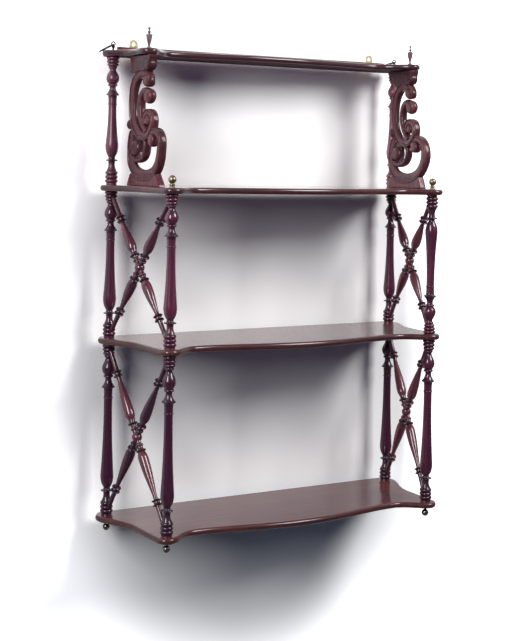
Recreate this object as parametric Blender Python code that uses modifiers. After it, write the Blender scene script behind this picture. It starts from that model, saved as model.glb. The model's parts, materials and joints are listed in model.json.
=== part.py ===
# Hanging wall shelf: four serpentine shelves on turned posts, with pierced scroll brackets
# in the top bay and crossed spindles at the sides of the two bays below.
# X runs to the viewer's right, Y towards the wall and Z up; the wall is the plane y = 0.
# The origin is the middle of the top shelf's back edge.
import math

import bmesh
import bpy
from mathutils import Matrix, Vector

FIT = 0.0003  # gap between pieces that touch or fit into each other

# Shelves
SHELF_THICKNESS = 0.011
SHELF_ROUND = 0.0035  # radius of the rounded front and side edge
EAR_RADIUS = 0.020  # rounded corner of a shelf round a post or an urn
TOP_BAY = 0.231  # clear heights between the shelves
MIDDLE_BAY = 0.2655
LOWER_BAY = 0.3125
DIP_INSET = 0.063  # from an ear's middle to the deepest point of the front edge
DIP_DEPTH = 0.0126  # front edge's dip behind the middle of the ears
BOW_REACH = 0.0160  # front edge's bow ahead of the middle of the ears
WAIST_SWELL = 0.002  # side's waist outside the front ear
TOP_DIP_DEPTH = 0.0325
TOP_BOW_REACH = -0.0085
TOP_WAIST_SWELL = -0.002

# Posts
REAR_HALF_SPAN = 0.311  # from the middle of the shelf to a rear post's axis
FRONT_INSET = 0.033  # a front post's axis stands this far inside the rear one's
POST_DEPTH = 0.1786  # from the rear posts' axes to the front posts' axes
POST_RADIUS = 0.012  # rings, disc and swell of a post
SPIGOT_RADIUS = 0.003
SPIGOT_DEPTH = 0.006  # length of a spigot inside the piece above
MORTISE_DEPTH = 0.006  # blind hole in the top shelf for a rear post's spigot

# Crossed spindles
SPINDLE_INSET = 0.003  # a spindle's axis meets a post's axis this far inside the bay
SPINDLE_HOUSING = 0.009  # a spindle stops this far short of the post's axis
SPINDLE_RADIUS = 0.0095  # swell of a spindle
SPINDLE_END = 0.0042  # radius of the plain ends
SPINDLE_BALL = 0.009  # ball where two spindles cross
COLLAR_SETBACK = 0.057  # double collar, measured from the post's axis

# Scroll brackets
BRACKET_INSET = 0.0275  # a bracket's upright axis inside the rear post's axis
BRACKET_SETOUT = 0.0905  # from the rear posts' axes to a bracket's upright axis
BRACKET_WIDTH = 0.015
BRACKET_DEPTH = 0.132  # from the rearmost to the foremost scroll
BRACKET_TOE = math.radians(2.5)
DOWEL_RADIUS = 0.0025
DOWEL_RISE = 0.012  # dowel inside the bracket
DOWEL_SINK = 0.007  # dowel inside the shelf
DOWEL_REAR = 0.036  # dowels behind and ahead of the bracket's axis
DOWEL_FRONT = 0.030

# Finials and feet
URN_HEIGHT = 0.0374
URN_RADIUS = 0.006
URN_SPIGOT = 0.0018
URN_SPIGOT_DEPTH = 0.006  # spigot inside the bracket
FINIAL_BALL = 0.0071
FINIAL_RISE = 0.0139  # ball's middle above the second shelf
FINIAL_NECK = 0.0052
FOOT_BALL = 0.0065
FOOT_DROP = 0.0115  # ball's middle below the bottom shelf
FOOT_FLANGE = 0.0042
FOOT_WAIST = 0.0024

# Back rail and hanging plates
RAIL_INSET = 0.015  # rail's end inside the rear post's axis
RAIL_HEIGHT = 0.0084
RAIL_THICKNESS = 0.008
RAIL_DOWEL = 0.0016
RAIL_DOWEL_DEPTH = 0.005  # in the rail, and in the shelf
RAIL_DOWEL_INSET = 0.096  # outer dowels inside the rail's ends
PLATE_INSET = 0.034  # a plate's middle inside the rail's end
PLATE_WIDTH = 0.0172
PLATE_THICKNESS = 0.0016
PLATE_RISE = 0.0146  # hole's middle above the top shelf
PLATE_HOLE = 0.0036
PLATE_FOOT = 0.0015  # shelf edge left below the plate
SCREW_RADIUS = 0.0012
SCREW_HEAD = 0.0023
SCREW_HEAD_DEPTH = 0.0008
SCREW_LENGTH = 0.0062

# Screw eyes and hanging loops
EYE_RISE = 0.0119  # ring's middle above the top shelf
EYE_RING = 0.0035  # middle of the ring's wire
EYE_WIRE = 0.0012
EYE_THROAT = 0.0033
EYE_SHANK = 0.0013
EYE_SCREW_LENGTH = 0.020
LOOP_LENGTH = 0.031
LOOP_WIDTH = 0.016
LOOP_WIRE = 0.001

# Roundness of the solids
POST_SIDES = 8
SPINDLE_SIDES = 8
SMALL_SIDES = 8
EDGE_STEPS = 3

# Heights of the shelves' faces and places of the upright axes
TOP_FACE = SHELF_THICKNESS / 2
TOP_UNDER = TOP_FACE - SHELF_THICKNESS
SECOND_FACE = TOP_UNDER - TOP_BAY
SECOND_UNDER = SECOND_FACE - SHELF_THICKNESS
THIRD_FACE = SECOND_UNDER - MIDDLE_BAY
THIRD_UNDER = THIRD_FACE - SHELF_THICKNESS
BOTTOM_FACE = THIRD_UNDER - LOWER_BAY
BOTTOM_UNDER = BOTTOM_FACE - SHELF_THICKNESS
FRONT_HALF_SPAN = REAR_HALF_SPAN - FRONT_INSET
BRACKET_HALF_SPAN = REAR_HALF_SPAN - BRACKET_INSET
RAIL_HALF_LENGTH = REAR_HALF_SPAN - RAIL_INSET
RAIL_DOWEL_X = RAIL_HALF_LENGTH - RAIL_DOWEL_INSET
PLATE_HALF_SPAN = RAIL_HALF_LENGTH - PLATE_INSET
REAR_Y = -EAR_RADIUS
FRONT_Y = REAR_Y - POST_DEPTH
BRACKET_Y = REAR_Y - BRACKET_SETOUT
SIDES = (("left", -1), ("right", 1))

for old in list(bpy.data.objects):
    bpy.data.objects.remove(old, do_unlink=True)

parts = bpy.data.collections.new("hanging_wall_shelf")
cutters = bpy.data.collections.new("cutters")
bpy.context.scene.collection.children.link(parts)
bpy.context.scene.collection.children.link(cutters)


def make_material(name, colour, roughness, metallic=0.0):
    material = bpy.data.materials.new(name)
    material.use_nodes = True
    shader = material.node_tree.nodes["Principled BSDF"]
    shader.inputs["Base Color"].default_value = (*colour, 1.0)
    shader.inputs["Roughness"].default_value = roughness
    shader.inputs["Metallic"].default_value = metallic
    return material


board = make_material("mahogany_board", (0.105, 0.036, 0.026), 0.30)
turning = make_material("mahogany_turning", (0.085, 0.026, 0.022), 0.28)
carving = make_material("mahogany_carving", (0.060, 0.020, 0.018), 0.35)
brass = make_material("aged_brass", (0.420, 0.300, 0.140), 0.35, 1.0)
iron = make_material("dark_iron", (0.050, 0.048, 0.050), 0.50, 1.0)


def add_part(name, data, material, matrix=None):
    obj = bpy.data.objects.new(name, data)
    data.materials.append(material)
    parts.objects.link(obj)
    if matrix is not None:
        obj.matrix_world = matrix
    return obj


def add_cutter(name, data):
    obj = bpy.data.objects.new(name, data)
    cutters.objects.link(obj)
    obj.hide_render = True
    obj.display_type = "WIRE"
    return obj


def cut(obj, cutter, operation="DIFFERENCE"):
    modifier = obj.modifiers.new(cutter.name, "BOOLEAN")
    modifier.operation = operation
    modifier.solver = "EXACT"
    modifier.object = cutter


def rods_mesh(name, rods, sides, clearance=0.0):
    """Round rods, each given by its two ends and its radius; a clearance makes them holes."""
    bm = bmesh.new()
    for start, end, radius in rods:
        if clearance:
            radius = (radius + clearance) / math.cos(math.pi / sides)
        along = end - start
        turn = along.to_track_quat("Z", "Y").to_matrix().to_4x4()
        place = Matrix.Translation((start + end) / 2) @ turn
        bmesh.ops.create_cone(bm, cap_ends=True, segments=sides, radius1=radius,
                              radius2=radius, depth=along.length, matrix=place)
    mesh = bpy.data.meshes.new(name)
    bm.to_mesh(mesh)
    bm.free()
    return mesh


def boxes_mesh(name, boxes):
    """Boxes, each given by its lowest and highest corner."""
    bm = bmesh.new()
    for low, high in boxes:
        size = Matrix.Diagonal((*(high - low), 1.0))
        bmesh.ops.create_cube(bm, size=1.0, matrix=Matrix.Translation((low + high) / 2) @ size)
    mesh = bpy.data.meshes.new(name)
    bm.to_mesh(mesh)
    bm.free()
    return mesh


def turned(name, profile, sides, material, matrix):
    """A turned piece: the profile of radius and height runs from the top of its axis down."""
    mesh = bpy.data.meshes.new(name)
    points = [(radius, 0.0, height) for radius, height in profile]
    mesh.from_pydata(points, [(i, i + 1) for i in range(len(points) - 1)], [])
    obj = add_part(name, mesh, material, matrix)
    screw = obj.modifiers.new("turning", "SCREW")
    screw.axis = "Z"
    screw.angle = math.tau
    screw.steps = sides
    screw.render_steps = sides
    screw.use_merge_vertices = True
    screw.merge_threshold = 1e-5
    screw.use_smooth_shade = True
    return obj


def solid_from_curve(name, splines, half_thickness, steps):
    """A flat solid from closed Bezier outlines; each point has a place and two handles."""
    curve = bpy.data.curves.new(name, "CURVE")
    curve.dimensions = "2D"
    curve.fill_mode = "BOTH"
    curve.extrude = half_thickness
    curve.resolution_u = steps
    for points in splines:
        spline = curve.splines.new("BEZIER")
        spline.bezier_points.add(len(points) - 1)
        spline.use_cyclic_u = True
        for knot, (place, before, after) in zip(spline.bezier_points, points):
            knot.co = (*place, 0.0)
            if before is None:
                knot.handle_left_type = after
                knot.handle_right_type = after
            else:
                knot.handle_left_type = "FREE"
                knot.handle_right_type = "FREE"
                knot.handle_left = (*before, 0.0)
                knot.handle_right = (*after, 0.0)
    drawn = bpy.data.objects.new(name, curve)
    parts.objects.link(drawn)
    depsgraph = bpy.context.evaluated_depsgraph_get()
    mesh = bpy.data.meshes.new_from_object(drawn.evaluated_get(depsgraph))
    mesh.materials.clear()
    bpy.data.objects.remove(drawn)
    bm = bmesh.new()
    bm.from_mesh(mesh)
    bmesh.ops.remove_doubles(bm, verts=bm.verts, dist=1e-5)
    bmesh.ops.recalc_face_normals(bm, faces=bm.faces)
    return mesh, bm


def join_flat_faces(bm):
    bmesh.ops.dissolve_limit(bm, angle_limit=math.radians(0.5), verts=bm.verts, edges=bm.edges)


def finish_mesh(mesh, bm):
    bm.to_mesh(mesh)
    bm.free()
    mesh.shade_smooth()
    mesh.set_sharp_from_angle(angle=math.radians(35))


def shelf_outline(front_x, depth, dip_depth, bow_reach, waist_swell):
    """Outline of a shelf: straight back, an ear at each post, waisted sides, serpentine front."""
    ear = EAR_RADIUS
    bend = ear * 0.5523
    front_y = REAR_Y - depth
    waist = (front_x + ear + waist_swell, REAR_Y - depth * 0.56)
    dip = (front_x - DIP_INSET, front_y + dip_depth)
    bow_y = front_y - bow_reach
    half = [
        ((REAR_HALF_SPAN, 0.0), (REAR_HALF_SPAN - ear, 0.0), (REAR_HALF_SPAN + bend, 0.0)),
        ((REAR_HALF_SPAN + ear, REAR_Y), (REAR_HALF_SPAN + ear, REAR_Y + bend),
         (REAR_HALF_SPAN + ear, REAR_Y - depth * 0.17)),
        (waist, (waist[0], waist[1] + depth * 0.25), (waist[0], waist[1] - depth * 0.22)),
        ((front_x + ear, front_y), (front_x + ear, front_y + depth * 0.10),
         (front_x + ear, front_y - bend)),
        ((front_x, front_y - ear), (front_x + bend, front_y - ear),
         (front_x - ear, front_y - ear)),
        (dip, (dip[0] + DIP_INSET * 0.45, dip[1]), (dip[0] - dip[0] * 0.30, dip[1])),
    ]
    other = [((-p[0], p[1]), (-a[0], a[1]), (-b[0], b[1])) for p, b, a in reversed(half)]
    bow = ((0.0, bow_y), (dip[0] * 0.40, bow_y), (-dip[0] * 0.40, bow_y))
    return half + [bow] + other


def make_shelf(name, face, outline):
    mesh, bm = solid_from_curve(name, [outline], SHELF_THICKNESS / 2, EDGE_STEPS)
    join_flat_faces(bm)
    rim = []
    for edge in bm.edges:
        tilts = sorted(abs(f.normal.z) for f in edge.link_faces)
        at_back = all(v.co.y > -1e-5 for v in edge.verts)
        if len(tilts) == 2 and tilts[0] < 0.1 and tilts[1] > 0.9 and not at_back:
            rim.append(edge)
    bmesh.ops.bevel(bm, geom=rim, offset=SHELF_ROUND, segments=2, profile=0.5, affect="EDGES")
    finish_mesh(mesh, bm)
    place = Matrix.Translation((0.0, 0.0, face - SHELF_THICKNESS / 2))
    return add_part(name, mesh, board, place)


def post_profile(length, head_up=True):
    """Outer profile of a post from top to bottom; only the plain shaft changes with the length."""
    head = [(0.85, 0.0), (0.98, 0.0030), (0.74, 0.0062), (0.95, 0.0095), (0.70, 0.0125),
            (0.84, 0.0155), (0.55, 0.0185), (0.66, 0.0210), (0.48, 0.0240), (0.76, 0.0330),
            (0.98, 0.0420), (0.62, 0.0515), (0.68, 0.0550), (0.48, 0.0600), (1.00, 0.0720),
            (0.66, 0.0750), (0.625, 0.1050)]
    foot = [(1.00, 0.0720), (0.855, 0.0580), (0.545, 0.0500), (0.81, 0.0440), (0.52, 0.0400),
            (0.49, 0.0350), (0.94, 0.0215), (0.72, 0.0180), (0.95, 0.0145), (0.74, 0.0108),
            (0.96, 0.0070), (0.82, 0.0)]
    shaft = 0.40 * (length - head[-1][1] - foot[0][1]) + foot[0][1]
    down = [(share * POST_RADIUS, length - drop) for share, drop in head]
    down.append((0.72 * POST_RADIUS, shaft))
    down += [(share * POST_RADIUS, rise) for share, rise in foot]
    if not head_up:
        down = [(radius, length - height) for radius, height in reversed(down)]
    return down


def make_post(name, x, y, floor, ceiling, tip, bore=None, head_up=True):
    """A post between two shelves, with a spigot at the top and a socket at the bottom."""
    base = floor + FIT
    length = ceiling - FIT - base
    top = tip - base
    socket = SPIGOT_RADIUS + FIT
    profile = [(0.0, top), (SPIGOT_RADIUS, top), (SPIGOT_RADIUS, length)]
    if bore is not None:
        bottom = bore - base
        profile = [(0.0, bottom), (EYE_SHANK + FIT, bottom), (EYE_SHANK + FIT, top)] + profile[1:]
    profile += post_profile(length, head_up)
    profile += [(socket, 0.0), (socket, SPIGOT_DEPTH + FIT), (0.0, SPIGOT_DEPTH + FIT)]
    return turned(name, profile, POST_SIDES, turning, Matrix.Translation((x, y, base)))


def spindle_profile(half_length):
    """Profile of a spindle about its middle; the taper before the collar takes up the length."""
    full = SPINDLE_RADIUS
    collar = half_length - COLLAR_SETBACK
    upper = [(0.0, half_length - SPINDLE_HOUSING), (SPINDLE_END, half_length - SPINDLE_HOUSING),
             (SPINDLE_END, collar + 0.010), (full * 0.92, collar + 0.0045), (full * 0.66, collar),
             (full * 0.92, collar - 0.0045), (full * 0.47, collar - 0.009),
             (full * 0.72, 0.55 * collar + 0.0180), (full, 0.0450), (full * 0.68, 0.0290),
             (full * 0.95, 0.0270), (full * 0.95, 0.0235), (full * 0.50, 0.0205),
             (full * 0.50, SPINDLE_BALL * 0.85), (SPINDLE_BALL * 0.86, SPINDLE_BALL * 0.50)]
    lower = [(radius, -height) for radius, height in reversed(upper)]
    return upper + [(SPINDLE_BALL, 0.0)] + lower


def side_axes(side):
    """Upright axes of the rear and front post of one side."""
    rear = Vector((side * REAR_HALF_SPAN, REAR_Y, 0.0))
    front = Vector((side * FRONT_HALF_SPAN, FRONT_Y, 0.0))
    return rear, front


def make_cross(bay, hand, side, floor, ceiling, posts):
    """Two half-lapped spindles between the rear and the front post of one side."""
    rear, front = side_axes(side)
    low = Vector((0.0, 0.0, floor + SPINDLE_INSET))
    high = Vector((0.0, 0.0, ceiling - SPINDLE_INSET))
    middle = (rear + front + low + high) / 2
    outward = (front - rear).cross(Vector((0.0, 0.0, 1.0))).normalized()
    if outward.x * side < 0:
        outward.negate()
    holes = {"rear": [], "front": []}
    for lap, upper, lower in (("inner", "front", "rear"), ("outer", "rear", "front")):
        foot = {"rear": rear, "front": front}[lower] + low
        head = {"rear": rear, "front": front}[upper] + high
        along = (head - foot).normalized()
        half_length = (head - foot).length / 2
        across = along.cross(outward)
        place = Matrix((outward, across, along)).transposed().to_4x4()
        place.translation = middle
        name = f"{bay}_{hand}_{lap}_spindle"
        spindle = turned(name, spindle_profile(half_length), SPINDLE_SIDES, turning, place)
        reach = SPINDLE_BALL + FIT
        near, far = (-FIT / 2, 2 * reach) if lap == "inner" else (-2 * reach, FIT / 2)
        lap_box = boxes_mesh(name + "_lap", [(Vector((near, -2 * reach, -reach)),
                                              Vector((far, 2 * reach, reach)))])
        lap_cutter = add_cutter(name + "_lap", lap_box)
        lap_cutter.matrix_world = place
        cut(spindle, lap_cutter)
        stop = along * (SPINDLE_HOUSING - FIT)
        clear = along * COLLAR_SETBACK
        holes[upper].append((head - stop, head - clear, SPINDLE_END))
        holes[lower].append((foot + stop, foot + clear, SPINDLE_END))
    for place, rods in holes.items():
        name = f"{bay}_{place}_post_{hand}_holes"
        cut(posts[place], add_cutter(name, rods_mesh(name, rods, SPINDLE_SIDES, FIT)))


def bracket_axes(side):
    """Frame of a bracket: forwards, up and across, from the foot of its upright axis."""
    forward = Vector((-side * math.sin(BRACKET_TOE), -math.cos(BRACKET_TOE), 0.0))
    up = Vector((0.0, 0.0, 1.0))
    place = Matrix((forward, up, forward.cross(up))).transposed().to_4x4()
    place.translation = (side * BRACKET_HALF_SPAN, BRACKET_Y, SECOND_FACE + FIT)
    return place


def smooth(*points):
    return [(point, None, "AUTO") for point in points]


def corner(*points):
    return [(point, None, "VECTOR") for point in points]


def bracket_outline():
    """Scroll bracket, 132 forwards by 231 up: plinth, scrolls and cap, with two piercings."""
    outer = corner((-63, 0))
    outer += smooth((-57, 11)) + corner((-51, 22))
    outer += smooth((-57, 31), (-64, 49), (-60, 67), (-54, 84)) + corner((-51, 97))
    outer += smooth((-61, 99), (-67, 108), (-61, 117)) + corner((-51, 119))
    outer += smooth((-56, 132), (-57, 150), (-53, 174)) + corner((-46, 198), (-52, 206))
    outer += corner((-52, 231), (19, 231))
    outer += smooth((18, 219)) + corner((10, 211))
    outer += smooth((15, 205)) + corner((5, 199.5))
    outer += smooth((11.5, 187)) + corner((4.5, 174))
    outer += smooth((14, 168.5), (17.5, 158), (12, 149)) + corner((-8, 145.5))
    outer += smooth((-12.5, 142)) + corner((-8, 138.5))
    outer += smooth((8, 136.5), (24, 127.5), (30.5, 114)) + corner((29.5, 105))
    outer += smooth((45, 98.5), (59.5, 83), (64, 62), (57, 39)) + corner((43, 22))
    outer += smooth((48, 11)) + corner((55, 0))
    crescent = smooth((-11, 187), (-28, 180), (-37, 152), (-31, 121)) + corner((-3, 98))
    crescent += smooth((-13, 118), (-19.5, 145), (-13, 168))
    hook = corner((52, 70)) + smooth((46, 51), (28, 35), (8, 29.5)) + corner((-19, 42))
    hook += smooth((4, 43.5), (20, 51)) + corner((29, 69))
    return outer, crescent, hook


def make_bracket(name, side):
    along = BRACKET_DEPTH / 132
    tall = (TOP_BAY - 2 * FIT) / 231
    splines = []
    for points in bracket_outline():
        splines.append([((f * along, z * tall), None, kind) for (f, z), _, kind in points])
    mesh, bm = solid_from_curve(name, splines, BRACKET_WIDTH / 2, 3)
    finish_mesh(mesh, bm)
    return add_part(name, mesh, carving, bracket_axes(side))


def ball_arc(radius, middle, first, last, count):
    """Points down the side of a ball, between two angles measured from its top."""
    turns = [first + (last - first) * i / (count - 1) for i in range(count)]
    return [(radius * math.sin(a), middle + radius * math.cos(a)) for a in turns]


# Shelves
deep = shelf_outline(FRONT_HALF_SPAN, POST_DEPTH, DIP_DEPTH, BOW_REACH, WAIST_SWELL)
shallow = shelf_outline(BRACKET_HALF_SPAN, BRACKET_SETOUT, TOP_DIP_DEPTH, TOP_BOW_REACH,
                        TOP_WAIST_SWELL)
top_shelf = make_shelf("top_shelf", TOP_FACE, shallow)
second_shelf = make_shelf("second_shelf", SECOND_FACE, deep)
third_shelf = make_shelf("third_shelf", THIRD_FACE, deep)
bottom_shelf = make_shelf("bottom_shelf", BOTTOM_FACE, deep)

post_spots = [(side * REAR_HALF_SPAN, REAR_Y) for _, side in SIDES]
post_spots += [(side * FRONT_HALF_SPAN, FRONT_Y) for _, side in SIDES]
for shelf, face in ((second_shelf, SECOND_FACE), (third_shelf, THIRD_FACE),
                    (bottom_shelf, BOTTOM_FACE)):
    rods = [(Vector((x, y, face - 2 * SHELF_THICKNESS)), Vector((x, y, face + SHELF_THICKNESS)),
             SPIGOT_RADIUS) for x, y in post_spots]
    name = shelf.name + "_bores"
    cut(shelf, add_cutter(name, rods_mesh(name, rods, POST_SIDES, FIT)))

# Posts and crossed spindles
eye_screw_tip = TOP_FACE + FIT - EYE_SCREW_LENGTH
for hand, side in SIDES:
    rear, front = side_axes(side)
    make_post(f"upper_rear_post_{hand}", rear.x, rear.y, SECOND_FACE, TOP_UNDER,
              TOP_UNDER + MORTISE_DEPTH, bore=eye_screw_tip - FIT)
    for bay, floor, ceiling in (("middle", THIRD_FACE, SECOND_UNDER),
                                ("lower", BOTTOM_FACE, THIRD_UNDER)):
        tip = ceiling + SHELF_THICKNESS + FIT + SPIGOT_DEPTH
        head_up = not (bay == "middle" and hand == "right")
        posts = {
            "rear": make_post(f"{bay}_rear_post_{hand}", rear.x, rear.y, floor, ceiling, tip),
            "front": make_post(f"{bay}_front_post_{hand}", front.x, front.y, floor, ceiling, tip,
                               head_up=head_up),
        }
        make_cross(bay, hand, side, floor, ceiling, posts)

# Scroll brackets, with dowels into the second shelf
dowel_holes = []
for hand, side in SIDES:
    bracket = make_bracket(f"scroll_bracket_{hand}", side)
    place = bracket_axes(side)
    holes = []
    for end, forward in (("rear", -DOWEL_REAR), ("front", DOWEL_FRONT)):
        foot = place @ Vector((forward, 0.0, 0.0))
        up = Vector((0.0, 0.0, DOWEL_RISE))
        down = Vector((0.0, 0.0, DOWEL_SINK))
        gap = Vector((0.0, 0.0, FIT))
        name = f"bracket_dowel_{end}_{hand}"
        dowel = rods_mesh(name, [(foot - down, foot + up, DOWEL_RADIUS)], SMALL_SIDES)
        add_part(name, dowel, turning)
        holes.append((foot - down - gap, foot + up + gap, DOWEL_RADIUS))
    dowel_holes += holes
    hole_mesh = rods_mesh(bracket.name, holes, SMALL_SIDES, FIT)
    cut(bracket, add_cutter(bracket.name + "_holes", hole_mesh))
    urn_foot = Vector((side * BRACKET_HALF_SPAN, BRACKET_Y, TOP_UNDER - FIT))
    bore = [(urn_foot - Vector((0.0, 0.0, URN_SPIGOT_DEPTH)),
             urn_foot + Vector((0.0, 0.0, 0.005)), URN_SPIGOT)]
    bore_mesh = rods_mesh(bracket.name, bore, SMALL_SIDES, FIT)
    cut(bracket, add_cutter(bracket.name + "_bore", bore_mesh))
hole_mesh = rods_mesh("dowel_holes", dowel_holes, SMALL_SIDES, FIT)
cut(second_shelf, add_cutter("dowel_holes", hole_mesh))

# Urn finials on the top shelf
urn_bores = []
for hand, side in SIDES:
    x = side * BRACKET_HALF_SPAN
    base = TOP_FACE + FIT
    tip = TOP_UNDER - URN_SPIGOT_DEPTH - base
    full = URN_RADIUS
    tall = URN_HEIGHT - FIT
    profile = [(0.0, tall), (full * 0.30, tall * 0.985), (full * 0.40, tall * 0.935),
               (full * 0.22, tall * 0.860), (full * 0.44, tall * 0.765),
               (full * 0.22, tall * 0.690), (full * 0.90, tall * 0.640), (full, tall * 0.600),
               (full * 0.70, tall * 0.380), (full * 0.47, tall * 0.220),
               (full * 0.37, tall * 0.170), (full * 0.67, 0.0), (URN_SPIGOT, 0.0),
               (URN_SPIGOT, tip), (0.0, tip)]
    turned(f"urn_finial_{hand}", profile, SMALL_SIDES, turning,
           Matrix.Translation((x, BRACKET_Y, base)))
    urn_bores.append((Vector((x, BRACKET_Y, TOP_UNDER - 0.005)),
                      Vector((x, BRACKET_Y, TOP_FACE + 0.005)), URN_SPIGOT))
cut(top_shelf, add_cutter("urn_bores", rods_mesh("urn_bores", urn_bores, SMALL_SIDES, FIT)))

# Brass ball finials over the front posts of the middle bay, and brass ball feet
for hand, side in SIDES:
    rear, front = side_axes(side)
    base = SECOND_FACE + FIT
    middle = FINIAL_RISE - FIT
    neck_turn = math.pi - math.asin(FINIAL_NECK * 0.88 / FINIAL_BALL)
    socket = SPIGOT_RADIUS + FIT
    profile = ball_arc(FINIAL_BALL, middle, 0.0, neck_turn, 6)
    profile += [(FINIAL_NECK, 0.0035), (FINIAL_NECK, 0.0), (socket, 0.0),
                (socket, SPIGOT_DEPTH + FIT), (0.0, SPIGOT_DEPTH + FIT)]
    turned(f"ball_finial_{hand}", profile, SMALL_SIDES, brass,
           Matrix.Translation((front.x, front.y, base)))
    for end, axis in (("rear", rear), ("front", front)):
        stud = SHELF_THICKNESS + 2 * FIT + SPIGOT_DEPTH
        waist_turn = math.asin(FOOT_WAIST / FOOT_BALL)
        profile = [(0.0, stud), (SPIGOT_RADIUS, stud), (SPIGOT_RADIUS, 0.0), (FOOT_FLANGE, 0.0),
                   (FOOT_WAIST, -0.35 * (FOOT_DROP - FOOT_BALL))]
        profile += ball_arc(FOOT_BALL, FIT - FOOT_DROP, waist_turn, math.pi, 7)
        turned(f"ball_foot_{end}_{hand}", profile, SMALL_SIDES, brass,
               Matrix.Translation((axis.x, axis.y, BOTTOM_UNDER - FIT)))

# Back rail on the top shelf, with dowels
rail_base = TOP_FACE + FIT
rail_top = TOP_FACE + RAIL_HEIGHT
rail_box = boxes_mesh("back_rail", [(Vector((-RAIL_HALF_LENGTH, -RAIL_THICKNESS, rail_base)),
                                     Vector((RAIL_HALF_LENGTH, 0.0, rail_top)))])
rail = add_part("back_rail", rail_box, board)
rail_holes = []
for spot, x in (("left", -RAIL_DOWEL_X), ("middle", 0.0), ("right", RAIL_DOWEL_X)):
    foot = Vector((x, -RAIL_THICKNESS / 2, TOP_FACE - RAIL_DOWEL_DEPTH))
    head = Vector((x, -RAIL_THICKNESS / 2, rail_base + RAIL_DOWEL_DEPTH))
    gap = Vector((0.0, 0.0, FIT))
    name = f"rail_dowel_{spot}"
    add_part(name, rods_mesh(name, [(foot, head, RAIL_DOWEL)], SMALL_SIDES), turning)
    rail_holes.append((foot - gap, head + gap, RAIL_DOWEL))
rail_cutter = add_cutter("rail_holes", rods_mesh("rail_holes", rail_holes, SMALL_SIDES, FIT))
cut(rail, rail_cutter)
cut(top_shelf, rail_cutter)

# Brass hanging plates let into the back, each held by a screw in the rail and one in the shelf
plate_low = TOP_UNDER + PLATE_FOOT
plate_hole = TOP_FACE + PLATE_RISE
screw_heights = (("shelf", 0.0), ("rail", (rail_base + rail_top) / 2))
recesses = []
shank_holes = []
head_holes = []
plates = []
for hand, side in SIDES:
    x = side * PLATE_HALF_SPAN
    half = PLATE_WIDTH / 2
    bend = half * 0.5523
    arch = [((half, plate_low), (half / 2, plate_low), (half, plate_low + half)),
            ((half, plate_hole), (half, plate_hole - half), (half, plate_hole + bend)),
            ((0.0, plate_hole + half), (bend, plate_hole + half), (-bend, plate_hole + half)),
            ((-half, plate_hole), (-half, plate_hole + bend), (-half, plate_hole - half)),
            ((-half, plate_low), (-half, plate_low + half), (-half / 2, plate_low))]
    r = PLATE_HOLE
    b = r * 0.5523
    eye = [((r, plate_hole), (r, plate_hole - b), (r, plate_hole + b)),
           ((0.0, plate_hole + r), (b, plate_hole + r), (-b, plate_hole + r)),
           ((-r, plate_hole), (-r, plate_hole + b), (-r, plate_hole - b)),
           ((0.0, plate_hole - r), (-b, plate_hole - r), (b, plate_hole - r))]
    mesh, bm = solid_from_curve("plate", [arch, eye], PLATE_THICKNESS / 2, 4)
    join_flat_faces(bm)
    finish_mesh(mesh, bm)
    stand = Matrix.Translation((x, -PLATE_THICKNESS / 2, 0.0)) @ Matrix.Rotation(math.pi / 2, 4, "X")
    plates.append(add_part(f"hanging_plate_{hand}", mesh, brass, stand))
    recesses.append((Vector((x - half - FIT, -PLATE_THICKNESS - FIT, plate_low - FIT)),
                     Vector((x + half + FIT, 0.005, rail_top + 0.005))))
    for spot, z in screw_heights:
        seat = Vector((x, -FIT - SCREW_HEAD_DEPTH, z))
        tip = Vector((x, -SCREW_LENGTH, z))
        out = Vector((x, 0.005, z))
        gap = Vector((0.0, -FIT, 0.0))
        profile = [(0.0, -FIT), (SCREW_HEAD, -FIT), (SCREW_HEAD, -FIT - SCREW_HEAD_DEPTH),
                   (SCREW_RADIUS, -FIT - SCREW_HEAD_DEPTH), (SCREW_RADIUS, -SCREW_LENGTH),
                   (0.0, -SCREW_LENGTH)]
        lying = Matrix.Translation((x, 0.0, z)) @ Matrix.Rotation(-math.pi / 2, 4, "X")
        turned(f"plate_screw_{spot}_{hand}", profile, SMALL_SIDES, brass, lying)
        shank_holes.append((out, tip + gap, SCREW_RADIUS))
        head_holes.append((out, seat + gap, SCREW_HEAD))
recess_cutter = add_cutter("plate_recesses", boxes_mesh("plate_recesses", recesses))
shank_cutter = add_cutter("screw_holes", rods_mesh("screw_holes", shank_holes, SMALL_SIDES, FIT))
head_cutter = add_cutter("screw_heads", rods_mesh("screw_heads", head_holes, SMALL_SIDES, FIT))
for obj in (rail, top_shelf):
    cut(obj, recess_cutter)
    cut(obj, shank_cutter)
for plate in plates:
    cut(plate, head_cutter)
    cut(plate, shank_cutter)

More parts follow.
